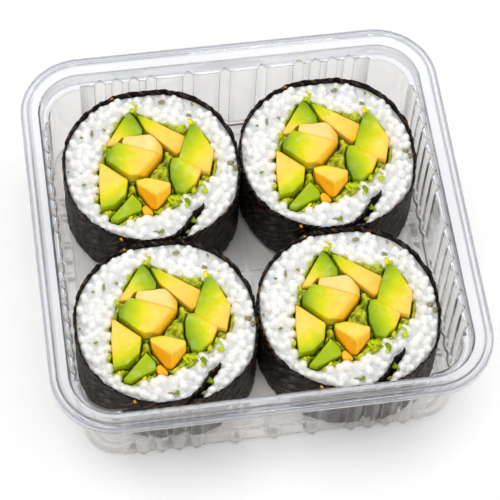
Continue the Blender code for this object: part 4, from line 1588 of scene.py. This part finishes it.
def scatter_crumbs():
    """The tree that scatters crumbs over the upward faces of its host."""
    tree, given, result = new_node_tree(
        "scatter crumbs",
        [
            ("Crumb", "NodeSocketObject"),
            ("Spacing", "NodeSocketFloat"),
            ("Smallest", "NodeSocketFloat"),
            ("Largest", "NodeSocketFloat"),
            ("Seed", "NodeSocketInt"),
            ("Finish", "NodeSocketMaterial"),
        ],
    )
    normal = add_node(tree, "GeometryNodeInputNormal").outputs[0]
    height = add_node(tree, "ShaderNodeSeparateXYZ", {0: normal}).outputs["Z"]
    upward = add_node(tree, "FunctionNodeCompare", {0: height, 1: 0.5}, operation="GREATER_THAN")
    points = add_node(
        tree,
        "GeometryNodeDistributePointsOnFaces",
        {
            "Mesh": given["Geometry"],
            "Selection": upward.outputs[0],
            "Distance Min": given["Spacing"],
            "Density Max": CRUMBS_DENSE_ENOUGH,
            "Seed": given["Seed"],
        },
        distribute_method="POISSON",
    ).outputs["Points"]
    turns = {axis: random_number(tree, 0, FULL_TURN, axis + 1) for axis in range(3)}
    crumbs = add_node(
        tree,
        "GeometryNodeInstanceOnPoints",
        {
            "Points": points,
            "Instance": object_mesh(tree, given["Crumb"]),
            "Rotation": add_node(tree, "ShaderNodeCombineXYZ", turns).outputs[0],
            "Scale": random_number(tree, given["Smallest"], given["Largest"], 4),
        },
    ).outputs[0]
    # A crumb's number is a random tone within the mash's range of colours, not shade.
    crumbs = store_number(tree, crumbs, "crest", random_number(tree, 0.2, 1.0, 5), domain="INSTANCE")
    end_tree(tree, crumbs, given, result)
    return tree


crumb_shape = build_crumb(mash_material)
mash = run_tree(
    build_mash(mash_material),
    scatter_crumbs(),
    {
        "Crumb": crumb_shape,
        "Spacing": 2.9 * MM,
        "Smallest": 0.6 * MM,
        "Largest": 1.5 * MM,
        "Seed": 2,
        "Finish": mash_material,
    },
    "mash",
)
bpy.data.objects.remove(crumb_shape, do_unlink=True)
copy_to_rolls(mash, "mash", "mashed_avocado")

# %% [markdown]
# ## Bits between the grains
#
# The knife drags some avocado over the rice, and a few bits of it, and of browned seaweed, sit in the
# holes between the grains. The greyish olive ones, sunk deepest at the gaps, are also a painted shade down
# in those holes. Each one has a place that shows in the picture, so they are a list and not a scatter:
# place and size in mm, level over or under the cut, and colour.

# %% Bits
# The greyish olive is partly the bits' own colour and partly a painted shade for the depth of the gaps.
OLIVE_AND_HOLE_SHADE, MOSS, SPRING, YOLK, RUST = (
    colour(150, 144, 96),
    colour(128, 152, 28),
    colour(192, 208, 40),
    colour(238, 226, 60),
    colour(220, 140, 20),
)
BIT_SINK, BIT_RADIUS, BIT_FLATNESS = 0.3, 0.42, 0.45
BITS = [
    (-3.1, 23.2, 1.5, 0.2, YOLK),
    (-2.4, 21.9, 1.3, 0.2, SPRING),
    (-3.7, 20.9, 1.9, 0.1, SPRING),
    (14.3, 14.7, 1.8, 0.2, YOLK),
    (15.6, 13.9, 1.3, 0.1, SPRING),
    (17.4, 19.9, 0.9, 0.2, YOLK),
    (18.6, 15.0, 0.7, 0.2, SPRING),
    (-9.0, -18.9, 1.3, 0.2, YOLK),
    (15.8, -12.2, 2.2, 0.1, SPRING),
    (16.0, -9.9, 1.4, 0.1, SPRING),
    (9.9, -15.6, 2.4, 0.0, MOSS),
    (9.2, -16.6, 1.7, 0.1, SPRING),
    (7.6, -15.0, 1.4, 0.1, MOSS),
    (-10.0, 16.5, 1.4, 0.0, SPRING),
    (-21.2, 12.6, 1.0, 0.1, MOSS),
    (-14.3, 8.2, 1.9, -0.3, SPRING),
    (-13.3, 6.2, 1.6, -0.4, MOSS),
    (-18.9, -10.3, 1.4, -0.3, SPRING),
    (11.8, 10.9, 1.8, -0.5, MOSS),
    (14.8, -8.4, 1.6, -0.2, SPRING),
    (12.4, -11.0, 1.8, -0.3, SPRING),
    (6.2, -13.2, 2.4, -0.4, SPRING),
    (4.4, -13.9, 2.1, -0.5, SPRING),
    (7.5, -12.0, 1.8, -0.5, MOSS),
    (25.6, -1.6, 2.0, -1.3, OLIVE_AND_HOLE_SHADE),
    (27.0, -3.6, 2.2, -1.5, OLIVE_AND_HOLE_SHADE),
    (-1.4, -24.6, 1.7, -1.0, OLIVE_AND_HOLE_SHADE),
    (0.4, -24.4, 1.4, -0.9, MOSS),
    (14.5, 17.8, 1.7, -1.2, OLIVE_AND_HOLE_SHADE),
    (-17.8, 14.6, 1.5, -1.1, OLIVE_AND_HOLE_SHADE),
    (-22.4, -4.4, 1.6, -1.0, MOSS),
    (6.3, 24.2, 1.5, -1.2, OLIVE_AND_HOLE_SHADE),
    (16.0, 21.7, 1.1, -1.1, OLIVE_AND_HOLE_SHADE),
    (-13.5, 15.3, 1.1, -1.1, OLIVE_AND_HOLE_SHADE),
    (-26.7, 1.0, 1.0, -1.1, OLIVE_AND_HOLE_SHADE),
    (11.0, -21.5, 2.2, -1.2, MOSS),
    (8.8, -25.0, 2.0, -1.8, OLIVE_AND_HOLE_SHADE),
    (-25.1, 14.8, 0.8, 0.0, RUST),
    (-12.8, -26.2, 1.0, 0.0, RUST),
    (-9.9, 26.4, 0.9, 0.0, RUST),
]


def build_bits(material):
    """Torn flat lumps, one for each row, in one mesh."""
    bm = bmesh.new()
    layer = bm.verts.layers.float_color.new("flesh")
    draw = random.Random(21)
    for x, y, size, level, tint in BITS:
        place = Vector((x * MM, y * MM, CUT_LEVEL + (level - BIT_SINK) * MM))
        made = bmesh.ops.create_icosphere(bm, subdivisions=2, radius=size * MM * BIT_RADIUS)["verts"]
        stretch, turn = draw.uniform(1.1, 1.8), draw.uniform(0, math.pi)
        for vertex in made:
            torn = 0.9 + 0.95 * noise.noise(vertex.co / (0.5 * size * MM) + place / MM)
            spot = vertex.co * torn
            spot.x *= stretch
            spot.z *= BIT_FLATNESS
            spot.rotate(Matrix.Rotation(turn, 3, "Z"))
            vertex.co = spot + place
            vertex[layer] = tint
    return object_from(bm, "bits", [material])


copy_to_rolls(build_bits(avocado), None, "loose_bits")
